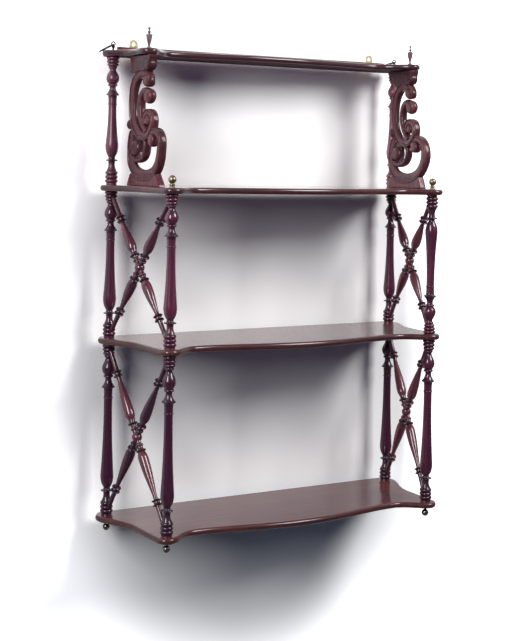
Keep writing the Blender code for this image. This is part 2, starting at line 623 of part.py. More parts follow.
# Screw eyes over the rear posts
mortises = []
pilots = []
eye_middle = TOP_FACE + EYE_RISE
for hand, side in SIDES:
    x = side * REAR_HALF_SPAN
    throat_top = eye_middle - EYE_RING
    tip = eye_screw_tip
    profile = [(0.0, throat_top), (EYE_WIRE * 1.6, throat_top),
               (EYE_THROAT, throat_top - EYE_WIRE), (EYE_SHANK * 1.15, TOP_FACE + FIT + 0.0006),
               (EYE_SHANK, TOP_FACE + FIT), (EYE_SHANK, tip), (0.0, tip)]
    eye = turned(f"screw_eye_{hand}", profile, SMALL_SIDES, iron,
                 Matrix.Translation((x, REAR_Y, 0.0)))
    bpy.ops.mesh.primitive_torus_add(major_radius=EYE_RING, minor_radius=EYE_WIRE,
                                     major_segments=14, minor_segments=6)
    ring = bpy.context.object
    ring_mesh = ring.data
    bpy.data.objects.remove(ring)
    ring = add_cutter(f"screw_eye_{hand}_ring", ring_mesh)
    ring.matrix_world = (Matrix.Translation((x, REAR_Y, eye_middle))
                         @ Matrix.Rotation(math.pi / 2, 4, "X"))
    cut(eye, ring, "UNION")
    mortises.append((Vector((x, REAR_Y, TOP_UNDER - 0.005)),
                     Vector((x, REAR_Y, TOP_UNDER + MORTISE_DEPTH + FIT)), SPIGOT_RADIUS))
    pilots.append((Vector((x, REAR_Y, TOP_UNDER - 0.005)),
                   Vector((x, REAR_Y, TOP_FACE + 0.005)), EYE_SHANK))
cut(top_shelf, add_cutter("mortises", rods_mesh("mortises", mortises, POST_SIDES, FIT)))
cut(top_shelf, add_cutter("pilots", rods_mesh("pilots", pilots, SMALL_SIDES, FIT)))

# Wire hanging loops, both lying to the viewer's left: one over the ear's edge, one on the shelf
hinge_height = EYE_RISE - (EYE_RING - EYE_WIRE - LOOP_WIRE - FIT)
for hand, side in SIDES:
    reach = EAR_RADIUS if hand == "left" else LOOP_LENGTH
    tilt = math.asin((hinge_height - LOOP_WIRE - FIT) / reach)
    curve = bpy.data.curves.new(f"hanging_loop_{hand}", "CURVE")
    curve.dimensions = "3D"
    curve.bevel_depth = LOOP_WIRE
    curve.bevel_resolution = 2
    spline = curve.splines.new("POLY")
    count = 22
    spline.points.add(count - 1)
    spline.use_cyclic_u = True
    for i, knot in enumerate(spline.points):
        turn = math.tau * i / count
        along = LOOP_LENGTH / 2 * (math.cos(turn) - 1)
        knot.co = (along, LOOP_WIDTH / 2 * math.sin(turn), 0.0, 1.0)
    place = Matrix.Translation((side * REAR_HALF_SPAN, REAR_Y, TOP_FACE + hinge_height))
    add_part(f"hanging_loop_{hand}", curve, iron, place @ Matrix.Rotation(-tilt, 4, "Y"))
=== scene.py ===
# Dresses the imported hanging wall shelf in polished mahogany, aged brass and dark iron, and hangs it
# on a white wall in the light of two soft lamps.
import json
import math

import bmesh
import bpy
from mathutils import Euler, Matrix, Vector
from mathutils.kdtree import KDTree

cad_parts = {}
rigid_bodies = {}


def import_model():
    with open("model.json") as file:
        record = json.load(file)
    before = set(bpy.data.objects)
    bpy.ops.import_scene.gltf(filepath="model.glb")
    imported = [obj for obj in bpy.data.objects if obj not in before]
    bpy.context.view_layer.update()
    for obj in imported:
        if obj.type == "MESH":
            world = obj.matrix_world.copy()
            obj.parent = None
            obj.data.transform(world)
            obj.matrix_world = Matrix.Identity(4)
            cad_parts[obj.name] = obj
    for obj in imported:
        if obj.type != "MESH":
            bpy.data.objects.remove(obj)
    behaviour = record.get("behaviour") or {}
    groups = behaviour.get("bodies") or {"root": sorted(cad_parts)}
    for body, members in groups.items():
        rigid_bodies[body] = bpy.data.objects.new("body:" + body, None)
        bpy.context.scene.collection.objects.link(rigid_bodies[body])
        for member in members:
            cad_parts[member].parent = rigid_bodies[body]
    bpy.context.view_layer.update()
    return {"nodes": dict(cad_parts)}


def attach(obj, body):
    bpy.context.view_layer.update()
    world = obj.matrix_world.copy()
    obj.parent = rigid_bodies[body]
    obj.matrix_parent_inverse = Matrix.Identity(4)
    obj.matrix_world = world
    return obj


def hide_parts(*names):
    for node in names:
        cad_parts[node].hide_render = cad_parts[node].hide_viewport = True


for old in list(bpy.data.objects):
    bpy.data.objects.remove(old, do_unlink=True)

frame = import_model()
mm = 0.001
tipped = Matrix.Rotation(math.pi / 2, 4, "X")  # lays what stands up on its back
upwards = Vector((0.0, 0.0, 1.0))
sameSpot = 1e-6  # points closer than this, in metres, become one
scene = bpy.context.scene
hands = (("left", -1), ("right", 1))
print("frame loaded:", len(frame["nodes"]), "nodes")

# where the pieces stand, in metres: same places as in the solids
unit = {
    "rearX": 0.311, "frontX": 0.278, "bracketX": 0.2835,
    "rearY": -0.020, "frontY": -0.1986, "bracketY": -0.1105,
    "boardThick": 0.011, "earRadius": 0.020,
    "topFace": 0.0055, "secondFace": -0.2365, "thirdFace": -0.5130, "bottomFace": -0.8365,
    "seam": 0.0001,  # hairline joint left between two pieces
}


def toLinear(hexColour):
    parts = [int(hexColour[i:i + 2], 16) / 255 for i in (1, 3, 5)]
    return tuple(c / 12.92 if c <= 0.04045 else ((c + 0.055) / 1.055) ** 2.4
                 for c in parts) + (1.0,)


# fills sockets: a plain value is set, and a node's first output or a given output is linked
def feed(tree, node, inputs):
    for key, source in inputs.items():
        if isinstance(source, bpy.types.Node):
            source = next(output for output in source.outputs if not output.is_unavailable)
        if isinstance(source, bpy.types.NodeSocket):
            tree.links.new(source, node.inputs[key])
        else:
            node.inputs[key].default_value = source


def addNode(tree, kind, inputs=None, **settings):
    node = tree.nodes.new(kind)
    for key, value in settings.items():
        setattr(node, key, value)
    feed(tree, node, inputs or {})
    return node


def calc(tree, operation, *values, kind="ShaderNodeMath", **settings):
    return addNode(tree, kind, dict(enumerate(values)), operation=operation, **settings)


def blend(tree, factor, a, b, kind="RGBA"):
    return addNode(tree, "ShaderNodeMix", {"Factor": factor, "A": a, "B": b}, data_type=kind)


def span(tree, value, low, high, which="To", **settings):
    return addNode(tree, "ShaderNodeMapRange",
                   {which + " Min": low, which + " Max": high, "Value": value}, **settings)


# colour ramp; the first two stops are its ends, and a number stands for a grey
def ramp(tree, value, *stops):
    node = addNode(tree, "ShaderNodeValToRGB", {"Fac": value})
    elements = node.color_ramp.elements
    for i, (place, colour) in enumerate(stops):
        element = elements[i] if i < 2 else elements.new(place)
        element.position = place
        element.color = colour if isinstance(colour, tuple) else (colour, colour, colour, 1.0)
    return node


def noise(tree, place, scale, detail, **more):
    return addNode(tree, "ShaderNodeTexNoise",
                   {"Scale": scale, "Detail": detail, "Vector": place, **more})


def bump(tree, height, strength, distance, below=None, **settings):
    inputs = {"Strength": strength, "Distance": distance, "Height": height}
    return addNode(tree, "ShaderNodeBump", dict(inputs, Normal=below) if below else inputs,
                   **settings)


def attribute(tree, name, output="Fac"):
    return addNode(tree, "ShaderNodeAttribute", attribute_name=name).outputs[output]


def ownPlace(tree):
    return addNode(tree, "ShaderNodeTexCoord").outputs["Object"]


# 1 for a ray that comes by way of something shiny or clear
def bouncedShare(tree, rays):
    return calc(tree, "ADD", rays["Is Glossy Ray"], rays["Is Transmission Ray"], use_clamp=True)


def newMaterial(name):
    material = bpy.data.materials.new(name)
    material.use_nodes = True
    return material, material.node_tree, material.node_tree.nodes["Principled BSDF"]


# Polished mahogany: dense red-brown wood under many thin coats of shellac. The eye gets dark
# straight streaks a few millimetres wide, short pores along the grain, painted shade in the hollows,
# on the rims and over the brackets' recesses and sides (with some old wax in the grooves), darker
# pieces, and a clear glossy coat that shows the lamp and the white wall.
def polishedMahogany(name, look):
    material, tree, shader = newMaterial(name)
    # a solid that isn't dressed has no grain attribute of its own
    grain = ownPlace(tree) if look["fromPlace"] else attribute(tree, "grain", "Vector")
    hollow = attribute(tree, "hollow")

    def figured(width, length, detail, shift=(0.0, 0.0, 0.0), **more):
        place = addNode(tree, "ShaderNodeMapping", {"Scale": (1 / width, 1 / width, 1 / length),
                                                    "Location": shift, "Vector": grain})
        return noise(tree, place, 1.0, detail, **more)

    streak = look["streakWidth"], look["streakLength"]
    cloud = streak[0] * look["cloudWide"], streak[1] * look["cloudLong"]
    streaks = figured(*streak, 5.0, Roughness=0.62, Distortion=0.35)
    clouds = figured(*cloud, 3.0, look["cloudShift"])
    handling = figured(*cloud, 4.0, look["cloudShift"])
    pores = figured(look["poreWidth"], look["poreLength"], 2.0)
    poreMask = ramp(tree, pores, (0.56, 0.0), (0.66, 1.0))
    colour = ramp(tree, blend(tree, look["cloudShare"], streaks, clouds, "FLOAT"),
                  (0.30, toLinear(look["dark"])), (0.68, toLinear(look["light"])),
                  (0.48, toLinear(look["middle"])))
    # painted shade: hollows, rims and the brackets' recesses and sides darkened (some old wax in
    # grooves), and some whole pieces darker
    for tint, share in (("pore", calc(tree, "MULTIPLY", poreMask, look["poreDark"])),
                        ("wax", calc(tree, "MULTIPLY", hollow, look["grime"])),
                        ("stain", attribute(tree, "stain"))):
        colour = blend(tree, share, colour, toLinear(look[tint]))
    rough = span(tree, handling, look["roughness"] - look["smoother"],
                 look["roughness"] + look["rougher"])
    dull = calc(tree, "MULTIPLY", hollow, look["hollowDull"])
    ripple = bump(tree, streaks, 0.25, 0.00012)
    feed(tree, shader, {"Base Color": colour, "Roughness": calc(tree, "ADD", rough, dull),
                        "Normal": bump(tree, poreMask, 0.35, 0.00008, ripple, invert=True),
                        "Specular IOR Level": look["specular"], "Coat Weight": look["coat"],
                        "Coat Roughness": look["coatRoughness"], "Coat IOR": 1.5})
    return material


# Aged brass: cast and turned, once bright, now brown in the hollows with worn bright crowns.
def agedBrass(name, look):
    material, tree, shader = newMaterial(name)
    place = ownPlace(tree)
    blotches = noise(tree, place, 1 / look["blotch"], 5.0, Roughness=0.6)
    tarnish = ramp(tree, blotches, (0.38, 0.0), (0.68, 1.0))
    worn = calc(tree, "MAXIMUM", tarnish, attribute(tree, "hollow"))
    specks = noise(tree, place, 1 / look["speck"], 3.0)
    feed(tree, shader, {
        "Base Color": blend(tree, worn, toLinear(look["bright"]), toLinear(look["tarnish"])),
        "Roughness": span(tree, worn, look["roughness"], look["dullness"]),
        "Normal": bump(tree, specks, 0.2, 0.0001), "Metallic": 1.0})
    return material


# Dark iron wire: drawn iron with black oxide and a little brown rust, dull all over.
def darkIron(name, look):
    material, tree, shader = newMaterial(name)
    patches = noise(tree, ownPlace(tree), 1 / look["patch"], 5.0)
    feed(tree, shader, {
        "Base Color": ramp(tree, patches, (0.40, toLinear(look["oxide"])),
                           (0.72, toLinear(look["rust"]))),
        "Roughness": span(tree, patches, look["roughness"], look["dullness"]),
        "Normal": bump(tree, patches, 0.3, 0.0001), "Metallic": 0.8})
    return material


# the near-black colour and its share darken the hollows as painted shade; the purple-black colour
# darkens whole pieces
boardLook = {"dark": "#34131c", "middle": "#58252a", "light": "#793e37", "pore": "#210b0e",
             "wax": "#120416", "stain": "#2b0327", "grime": 0.8,
             "streakWidth": 0.007, "streakLength": 0.18, "poreWidth": 0.0009, "poreLength": 0.012,
             "poreDark": 0.45, "roughness": 0.36, "coat": 0.85, "coatRoughness": 0.12,
             "specular": 0.3, "fromPlace": False,
             # broad clouds in the figure, in streak sizes, and how they change the polish
             "cloudWide": 6.25, "cloudLong": 1 / 0.6, "cloudShift": (3.1, 7.7, 1.3),
             "cloudShare": 0.40, "smoother": 0.07, "rougher": 0.10, "hollowDull": 0.25}
# the underside: unpolished and dull, and painted darker as shade
shadedUndersideLook = dict(boardLook, dark="#260f15", middle="#421d22", light="#5b322d", coat=0.0,
                     roughness=0.7, specular=0.1)
turningLook = dict(boardLook, dark="#330b24", middle="#591d3b", light="#7b3449", coat=1.0,
                   streakWidth=0.004, streakLength=0.11, roughness=0.32, coatRoughness=0.07)
# the upper posts: softer gloss, and painted lighter, as painted light on their shafts
satinLitLook = dict(turningLook, dark="#4c1f38", middle="#7d3d56", light="#a25b68", coatRoughness=0.34)
spindleLook = dict(turningLook, dark="#3a1226", middle="#60273a", light="#82434b",
                   coatRoughness=0.09)
carvingLook = dict(turningLook, dark="#391420", middle="#632d37", light="#834c4a", coat=0.46,
                   roughness=0.44, coatRoughness=0.16, specular=0.2)
# the urns are painted paler and greyer: painted light from the bright wall round them
urnLook = dict(turningLook, dark="#523c43", middle="#7b5d65", light="#9a7f85", coat=0.6,
               coatRoughness=0.2)
dowelLook = dict(turningLook, coat=0.0, roughness=0.6, fromPlace=True)
brassLook = {"bright": "#b3a58a", "tarnish": "#655a48", "roughness": 0.28, "dullness": 0.48,
             "blotch": 0.006, "speck": 0.0008}
footLook = dict(brassLook, bright="#a09b92", tarnish="#3f3c3a", roughness=0.16, dullness=0.34)
plateLook = dict(brassLook, bright="#b9ae90", tarnish="#877c5f", roughness=0.3, dullness=0.5)
ironLook = {"oxide": "#2c2a2a", "rust": "#4b3326", "patch": 0.004, "roughness": 0.38,
            "dullness": 0.62}
boardWood = polishedMahogany("polishedMahoganyBoard", boardLook)
shadedUndersideWood = polishedMahogany("plainShadedMahoganyUnderside", shadedUndersideLook)
turningWood = polishedMahogany("polishedMahoganyTurning", turningLook)
satinLitWood = polishedMahogany("satinLitMahoganyTurning", satinLitLook)
spindleWood = polishedMahogany("polishedMahoganySpindle", spindleLook)
carvingWood = polishedMahogany("polishedMahoganyCarving", carvingLook)
urnWood = polishedMahogany("paleLitMahoganyUrn", urnLook)
dowelWood = polishedMahogany("plainMahoganyDowel", dowelLook)
brass = agedBrass("agedBrassBall", brassLook)
footBrass = agedBrass("agedBrassFoot", footLook)
plateBrass = agedBrass("agedBrassPlate", plateLook)
iron = darkIron("darkIronWire", ironLook)
print("materials made")


# a node tree that takes the named inputs and gives one piece
def newTree(name, **sockets):
    tree = bpy.data.node_groups.new(name, "GeometryNodeTree")
    for label, kind in sockets.items():
        tree.interface.new_socket(label, in_out="INPUT", socket_type="NodeSocket" + kind)
    tree.interface.new_socket("Piece", in_out="OUTPUT", socket_type="NodeSocketGeometry")
    return tree, addNode(tree, "NodeGroupInput").outputs


def endTree(tree, shape, finish):
    real = addNode(tree, "GeometryNodeRealizeInstances", {"Geometry": shape})
    finished = addNode(tree, "GeometryNodeSetMaterial", {"Geometry": real, "Material": finish})
    addNode(tree, "NodeGroupOutput", {"Piece": finished})
    return tree


# Turned piece: the object's own edge line is the profile, swept round Z.
def turningTree():
    tree, given = newTree("turnedPiece", Profile="Geometry", Sides="Int", Finish="Material")
    whole = "FunctionNodeIntegerMath"
    rows = addNode(tree, "GeometryNodeAttributeDomainSize", {"Geometry": given["Profile"]},
                   component="MESH")
    columns = calc(tree, "ADD", given["Sides"], 1, kind=whole)
    sheet = addNode(tree, "GeometryNodeMeshGrid", {"Vertices X": rows, "Vertices Y": columns})
    index = addNode(tree, "GeometryNodeInputIndex")
    row = calc(tree, "DIVIDE_FLOOR", index, columns, kind=whole)
    column = calc(tree, "MODULO", index, columns, kind=whole)
    sampled = addNode(tree, "GeometryNodeSampleIndex",
                      {"Geometry": given["Profile"], "Index": row,
                       "Value": addNode(tree, "GeometryNodeInputPosition")},
                      data_type="FLOAT_VECTOR", domain="POINT")
    profile = addNode(tree, "ShaderNodeSeparateXYZ", {"Vector": sampled}).outputs
    angle = calc(tree, "MULTIPLY", calc(tree, "DIVIDE", column, given["Sides"]), math.tau)
    across, ahead = [calc(tree, "MULTIPLY", profile["X"], calc(tree, share, angle))
                     for share in ("COSINE", "SINE")]
    place = addNode(tree, "ShaderNodeCombineXYZ", {"X": across, "Y": ahead, "Z": profile["Z"]})
    swept = addNode(tree, "GeometryNodeSetPosition", {"Geometry": sheet, "Position": place})
    closed = addNode(tree, "GeometryNodeMergeByDistance", {"Geometry": swept, "Distance": sameSpot})
    return endTree(tree, closed, given["Finish"])


# Wire ring: an oval path with a round section.
def wireTree(pathSteps=72, sides=14):
    tree, given = newTree("wireRing", Base="Geometry", Length="Float", Width="Float",
                          Thickness="Float", Finish="Material")
    circle = addNode(tree, "GeometryNodeCurvePrimitiveCircle",
                     {"Resolution": pathSteps, "Radius": 0.5})
    size = addNode(tree, "ShaderNodeCombineXYZ",
                   {"X": given["Length"], "Y": given["Width"], "Z": 1.0})
    oval = addNode(tree, "GeometryNodeTransform", {"Geometry": circle, "Scale": size})
    radius = calc(tree, "MULTIPLY", given["Thickness"], 0.5)
    section = addNode(tree, "GeometryNodeCurvePrimitiveCircle",
                      {"Resolution": sides, "Radius": radius})
    wire = addNode(tree, "GeometryNodeCurveToMesh", {"Curve": oval, "Profile Curve": section})
    return endTree(tree, wire, given["Finish"])


turnedPiece = turningTree()
wireRing = wireTree()


def toMesh(bm, name):
    mesh = bpy.data.meshes.new(name)
    bm.to_mesh(mesh)
    bm.free()
    return mesh


# joins each ring of points to the next one with faces, and closes the ends where that is asked for
def bridge(bm, rings, capped=False):
    for one, two in zip(rings, rings[1:]):
        for i in range(len(one)):
            j = (i + 1) % len(one)
            bm.faces.new((one[i], one[j], two[j], two[i]))
    if capped:
        bm.faces.new(rings[0])
        bm.faces.new(rings[-1])


# makes the faces of one closed shell point out: its volume has to come out above nothing
def faceOut(bm, faces):
    bmesh.ops.recalc_face_normals(bm, faces=faces)
    volume = 0.0
    for face in faces:
        first, *others = [vertex.co for vertex in face.verts]
        volume += sum(first.dot(a.cross(b)) for a, b in zip(others, others[1:]))
    if volume < 0:
        bmesh.ops.reverse_faces(bm, faces=faces)


# runs a node tree on a base mesh and gives back the plain mesh, with its faces pointing out
def grow(name, base, tree, values):
    carrier = bpy.data.objects.new(name, base)
    scene.collection.objects.link(carrier)
    modifier = carrier.modifiers.new(name, "NODES")
    modifier.node_group = tree
    keys = {item.name: item.identifier for item in tree.interface.items_tree
            if item.in_out == "INPUT"}
    for label, value in values.items():
        modifier[keys[label]] = value
    graph = bpy.context.evaluated_depsgraph_get()
    mesh = bpy.data.meshes.new_from_object(carrier.evaluated_get(graph))
    bpy.data.objects.remove(carrier)
    bm = bmesh.new()
    bm.from_mesh(mesh)
    bmesh.ops.remove_doubles(bm, verts=bm.verts, dist=sameSpot)
    faceOut(bm, bm.faces[:])
    bm.to_mesh(mesh)
    bm.free()
    return mesh


grainStep = 0.137, 0.071, 0.213  # how far apart in the timber two pieces lie, for each seed


# grain is the wood's own frame (third axis along the fibres), hollow is 1 deep in a groove and
# carries the painted shade, and the third is how much darker the piece is: its tone, and on some
# pieces painted shade
def setWood(mesh, toGrain, hollow, seed, stain=0.0):
    shift = Vector([step * seed for step in grainStep])
    spots = [toGrain @ vertex.co + shift for vertex in mesh.vertices]
    for name, kind in (("grain", "FLOAT_VECTOR"), ("hollow", "FLOAT"), ("stain", "FLOAT")):
        mesh.attributes.new(name, kind, "POINT")
    mesh.attributes["grain"].data.foreach_set("vector", [c for spot in spots for c in spot])
    mesh.attributes["hollow"].data.foreach_set("value", hollow or [0.0] * len(spots))
    mesh.attributes["stain"].data.foreach_set("value", [stain] * len(spots))


def pieceName(node):
    first, *rest = node.split("_")
    return first + "".join(word.capitalize() for word in rest)


def addPiece(name, mesh, material, nodes, body="shelf_unit", sharp=38):
    mesh.materials.clear()
    mesh.materials.append(material)
    mesh.shade_smooth()
    mesh.set_sharp_from_angle(angle=math.radians(sharp))
    piece = bpy.data.objects.new(pieceName(name), mesh)
    scene.collection.objects.link(piece)
    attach(piece, body)
    if nodes:
        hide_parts(*nodes)
    return piece


# profile helpers: each gives points (radius, height) in millimetres, from the top down
def bead(top, bottom, valley, peak, steps=8):
    turns = [math.pi * i / steps for i in range(steps + 1)]
    middle = (top + bottom) / 2
    return [(valley + (peak - valley) * math.sin(a), middle + (top - bottom) / 2 * math.cos(a))
            for a in turns]


def ball(radius, middle, first, last, steps=16):
    turns = [math.radians(first + (last - first) * i / steps) for i in range(steps + 1)]
    return [(radius * math.sin(a), middle + radius * math.cos(a)) for a in turns]


def flow(*keys, steps=6):
    ends = [keys[0]] + list(keys) + [keys[-1]]
    points = [keys[0]]
    for a, b, c, d in zip(ends, ends[1:], ends[2:], ends[3:]):
        for i in range(1, steps + 1):
            t = i / steps
            points.append(tuple(0.5 * (2 * q + (r - p) * t + (2 * p - 5 * q + 4 * r - s) * t * t
                                       + (3 * q - p - 3 * r + s) * t ** 3)
                                for p, q, r, s in zip(a, b, c, d)))
    return points


turning = {"apart": 1e-5, "nearby": 0.0045, "fullDip": 0.004}  # metres: points kept, and grooves


# hollow grows with the depth below the widest place nearby, as painted shade with some old wax, or
# comes from the given dark bands of painted shade, each from one height to another in millimetres,
# with how dark it is
def turned(name, profile, sides, material, place, seed, stain=0.0, darkBands=()):
    points = [(max(radius, 0.0) * mm, 0.0, height * mm) for radius, height in profile]
    line = [points[0]]
    for point in points[1:]:
        if (Vector(point) - Vector(line[-1])).length > turning["apart"]:
            line.append(point)
    base = bpy.data.meshes.new(name)
    base.from_pydata(line, [(i, i + 1) for i in range(len(line) - 1)], [])
    mesh = grow(name, base, turnedPiece, {"Sides": sides, "Finish": material})
    hollow, widest = [], {}
    for vertex in mesh.vertices:
        height = round(vertex.co.z, 6)
        if height not in widest:
            widest[height] = max(p[0] for p in line if abs(p[2] - height) < turning["nearby"])
        dip = widest[height] - math.hypot(vertex.co.x, vertex.co.y)
        inside = line[-1][2] < vertex.co.z < line[0][2]  # the flat ends stay clean
        bandShade = max([depth for low, high, depth in darkBands if low <= height / mm <= high],
                     default=0.0)
        hollow.append(max(bandShade, min(1.0, dip / turning["fullDip"])) if inside else 0.0)
    setWood(mesh, Matrix.Identity(3), hollow, seed, stain)
    mesh.transform(place)
    return addPiece(name, mesh, material, [name])


# Posts: rings, bulb and disc at the head, club-shaped shaft, disc and stacked rings at the foot
post = {"sides": 56, "headLong": 92.0, "footLong": 72.0,
        "neck": 7.5, "swell": 4.5, "shaftGrowth": 2.2, "shaftSteps": 24,
        "headStretch": {"upper": 0.95, "middle": 0.98, "lower": 1.095}, "frontStretch": 0.02,
        "footShade": {"upper": 0.3, "middle": 0.35, "lower": 0.7},  # painted shade on the rings
        "headShade": 0.7, "discShade": 0.8,  # painted shade on the head, as a share of that, and on the discs
        "stain": {  # some pieces darker: painted shade, most on the lower and rear posts, and the timber's tone
            "upper_rear_post_left": 0.1, "middle_rear_post_left": 0.45,
            "lower_rear_post_left": 0.75, "lower_front_post_left": 0.7,
            "middle_rear_post_right": 0.2, "lower_rear_post_right": 0.6,
            "middle_front_post_right": 0.15, "lower_front_post_right": 0.35}}


def postProfile(length, stretch, headUp):
    head = (bead(0.0, 6.3, 8.2, 11.8) + bead(6.3, 12.6, 8.0, 11.5) + bead(12.6, 18.6, 7.2, 10.4)
            + bead(18.6, 22.6, 6.5, 8.0)
            + flow((6.2, 22.6), (5.8, 24.6), (6.3, 27.2), (8.5, 31.3), (10.8, 36.2), (11.8, 41.5),
                   (10.9, 46.4), (9.0, 49.6), (7.3, 51.8))
            + bead(52.2, 56.0, 7.0, 8.9)
            + flow((6.2, 56.3), (5.7, 59.4), (6.0, 62.0), (7.6, 66.0), (10.2, 69.8), (12.0, 71.4))
            + [(12.0, 72.8)] + flow((9.8, 73.8), (8.3, 75.0), (7.8, 80.0), (7.6, 88.4))
            + bead(88.6, 91.2, 7.6, 8.5))
    foot = flow((12.0, 72.0), (11.75, 66.0), (10.3, 58.5), (8.0, 53.3), (6.2, 50.2))
    foot += [(5.9, 48.4), (6.6, 46.3)] + bead(46.0, 42.6, 7.0, 11.1)
    foot += flow((6.4, 42.2), (6.0, 38.0), (6.1, 34.5), (7.0, 30.5), (8.4, 27.2), (9.3, 25.4))
    foot += bead(25.2, 18.0, 8.0, 11.5) + bead(18.0, 10.8, 8.1, 11.6) + bead(10.8, 3.6, 8.2, 11.7)
    foot += [(9.6, 3.4), (9.6, 0.0), (0.0, 0.0)]
    top = length - post["headLong"] * stretch
    shaft = []
    for i in range(1, post["shaftSteps"]):
        t = i / post["shaftSteps"]
        wide = post["neck"] + post["swell"] * t ** post["shaftGrowth"] * (1.12 - 0.12 * t)
        shaft.append((wide, top + (post["footLong"] - top) * t))
    down = [(0.0, length), (9.2, length)]
    down += [(r, length - drop * stretch) for r, drop in head] + shaft + foot
    return down if headUp else [(r, length - z) for r, z in reversed(down)]


def makePost(name, bay, x, y, floor, ceiling, stretch, seed, headUp=True):
    gap = unit["seam"]
    length = (ceiling - floor - 2 * gap) / mm
    rings = post["footShade"][bay]
    darkBands = [(42.2, 46.4, post["discShade"]),
                 (length - 73.4 * stretch, length - 71.0 * stretch, post["discShade"]),
                 (0.0, 42.0, rings), (length - 22.6 * stretch, length, rings * post["headShade"])]
    if not headUp:
        darkBands = [(length - high, length - low, depth) for low, high, depth in darkBands]
    turned(name, postProfile(length, stretch, headUp), post["sides"],
           satinLitWood if bay == "upper" else turningWood, Matrix.Translation((x, y, floor + gap)),
           seed, post["stain"].get(name, 0.0), darkBands)


def underside(face):
    return face - unit["boardThick"]


bays = (("upper", unit["secondFace"], underside(unit["topFace"])),
        ("middle", unit["thirdFace"], underside(unit["secondFace"])),
        ("lower", unit["bottomFace"], underside(unit["thirdFace"])))
seed = 1
for hand, side in hands:
    for bay, floor, ceiling in bays:
        stretch = post["headStretch"][bay]
        makePost(f"{bay}_rear_post_{hand}", bay, side * unit["rearX"], unit["rearY"], floor,
                 ceiling, stretch, seed)
        seed += 1
        if bay != "upper":
            headUp = not (bay == "middle" and hand == "right")  # this one stands on its head
            makePost(f"{bay}_front_post_{hand}", bay, side * unit["frontX"], unit["frontY"], floor,
                     ceiling, stretch + post["frontStretch"], seed, headUp)
            seed += 1
print("posts turned:", seed - 1)

# Crossed spindles: ball where they cross, ring, disc, vase, double collar and plain end
spindle = {"sides": 40, "axisInset": 0.003, "collarSetback": 57.0, "collarHalf": 6.2,
           "endShort": 6.0, "lapReach": 9.6,
           "discShade": 0.85, "endShade": 0.5,  # painted shade on the discs and collars, and on the ends
           # the left inner spindles of the two lower bays are painted darker, as shade
           "stain": {"middle_left_inner_spindle": 0.5, "lower_left_inner_spindle": 0.8}}


def spindleArm(half, vase):
    collar = half - spindle["collarSetback"]
    last = vase[-1][1]
    taper = ((3.9, 46.0), (4.2, 40.0), (5.9, 29.5), (7.7, 19.0), (8.8, 9.0))
    stretch = (collar - spindle["collarHalf"] - last) / taper[0][1]
    arm = [(0.0, half - spindle["endShort"]), (4.2, half - spindle["endShort"])]
    arm += flow((4.2, collar + 30.0), (4.3, collar + 14.0), (4.8, collar + 5.8))
    arm += bead(collar + 5.6, collar + 2.5, 5.2, 8.6, 6)
    arm += flow((5.5, collar + 2.4), (5.9, collar), (5.5, collar - 2.4), steps=4)
    arm += bead(collar - 2.5, collar - 5.6, 5.2, 8.6, 6)
    arm += flow(*[(r, last + z * stretch) for r, z in taper], *reversed(vase))
    arm += bead(27.2, 23.4, 5.6, 9.1, 8)
    arm += flow((5.4, 23.2), (5.0, 20.4), (5.2, 18.0)) + bead(17.6, 13.0, 5.0, 7.0, 6)
    arm += [(4.9, 12.6), (4.8, 9.8)] + ball(9.0, 0.0, 34.0, 90.0, 10)
    return arm


def spindleProfile(half):
    upper = spindleArm(half, ((5.7, 28.4), (5.6, 31.0), (6.4, 34.5), (8.4, 40.0), (9.2, 47.0)))
    lower = spindleArm(half, ((6.6, 28.4), (7.5, 31.0), (8.7, 35.5), (9.1, 40.0)))
    return upper + [(r, -z) for r, z in reversed(lower[:-1])]


# takes a box, given as a placed unit cube, or a rod with so many sides out of a mesh, and joins
# the shells that run through each other into one where that is asked for
def cutOut(mesh, place, sides=0, joinShells=False):
    bm = bmesh.new()
    if sides:
        bmesh.ops.create_cone(bm, cap_ends=True, segments=sides, radius1=1.0, radius2=1.0,
                              depth=1.0, matrix=place)
    else:
        bmesh.ops.create_cube(bm, size=1.0, matrix=place)
    cutter = bpy.data.objects.new("cutter", toMesh(bm, "cutter"))
    carrier = bpy.data.objects.new("cutPiece", mesh)
    for obj in (cutter, carrier):
        scene.collection.objects.link(obj)
    modifier = carrier.modifiers.new("cut", "BOOLEAN")
    modifier.solver = "EXACT"
    modifier.use_self = joinShells
    modifier.object = cutter
    graph = bpy.context.evaluated_depsgraph_get()
    cut = bpy.data.meshes.new_from_object(carrier.evaluated_get(graph))
    for obj in (cutter, carrier):
        bpy.data.objects.remove(obj)
    return cut


# cuts away half of the crossing ball, so that two spindles lap into each other
def halfLap(mesh, keepInner):
    reach = spindle["lapReach"] * mm
    shift = reach - unit["seam"] / 2
    middle = Matrix.Translation((shift if keepInner else -shift, 0.0, 0.0))
    return cutOut(mesh, middle @ Matrix.Diagonal((2 * reach, 4 * reach, 2 * reach, 1.0)))


def makeSpindle(name, head, foot, outward, keepInner, seed):
    along = (head - foot).normalized()
    place = Matrix((outward, along.cross(outward), along)).transposed().to_4x4()
    place.translation = (head + foot) / 2
    half = (head - foot).length / 2 / mm
    collar, disc = half - spindle["collarSetback"], spindle["discShade"]
    darkBands = [(23.2, 27.4, disc), (collar + 2.3, collar + 5.8, disc),
                 (collar - 5.8, collar - 2.3, disc), (collar + 5.8, half, spindle["endShade"])]
    darkBands += [(-high, -low, depth) for low, high, depth in darkBands]
    piece = turned(name, spindleProfile(half), spindle["sides"], spindleWood, Matrix.Identity(4),
                   seed, spindle["stain"].get(name, 0.0), darkBands)
    piece.data = halfLap(piece.data, keepInner)
    piece.data.transform(place)


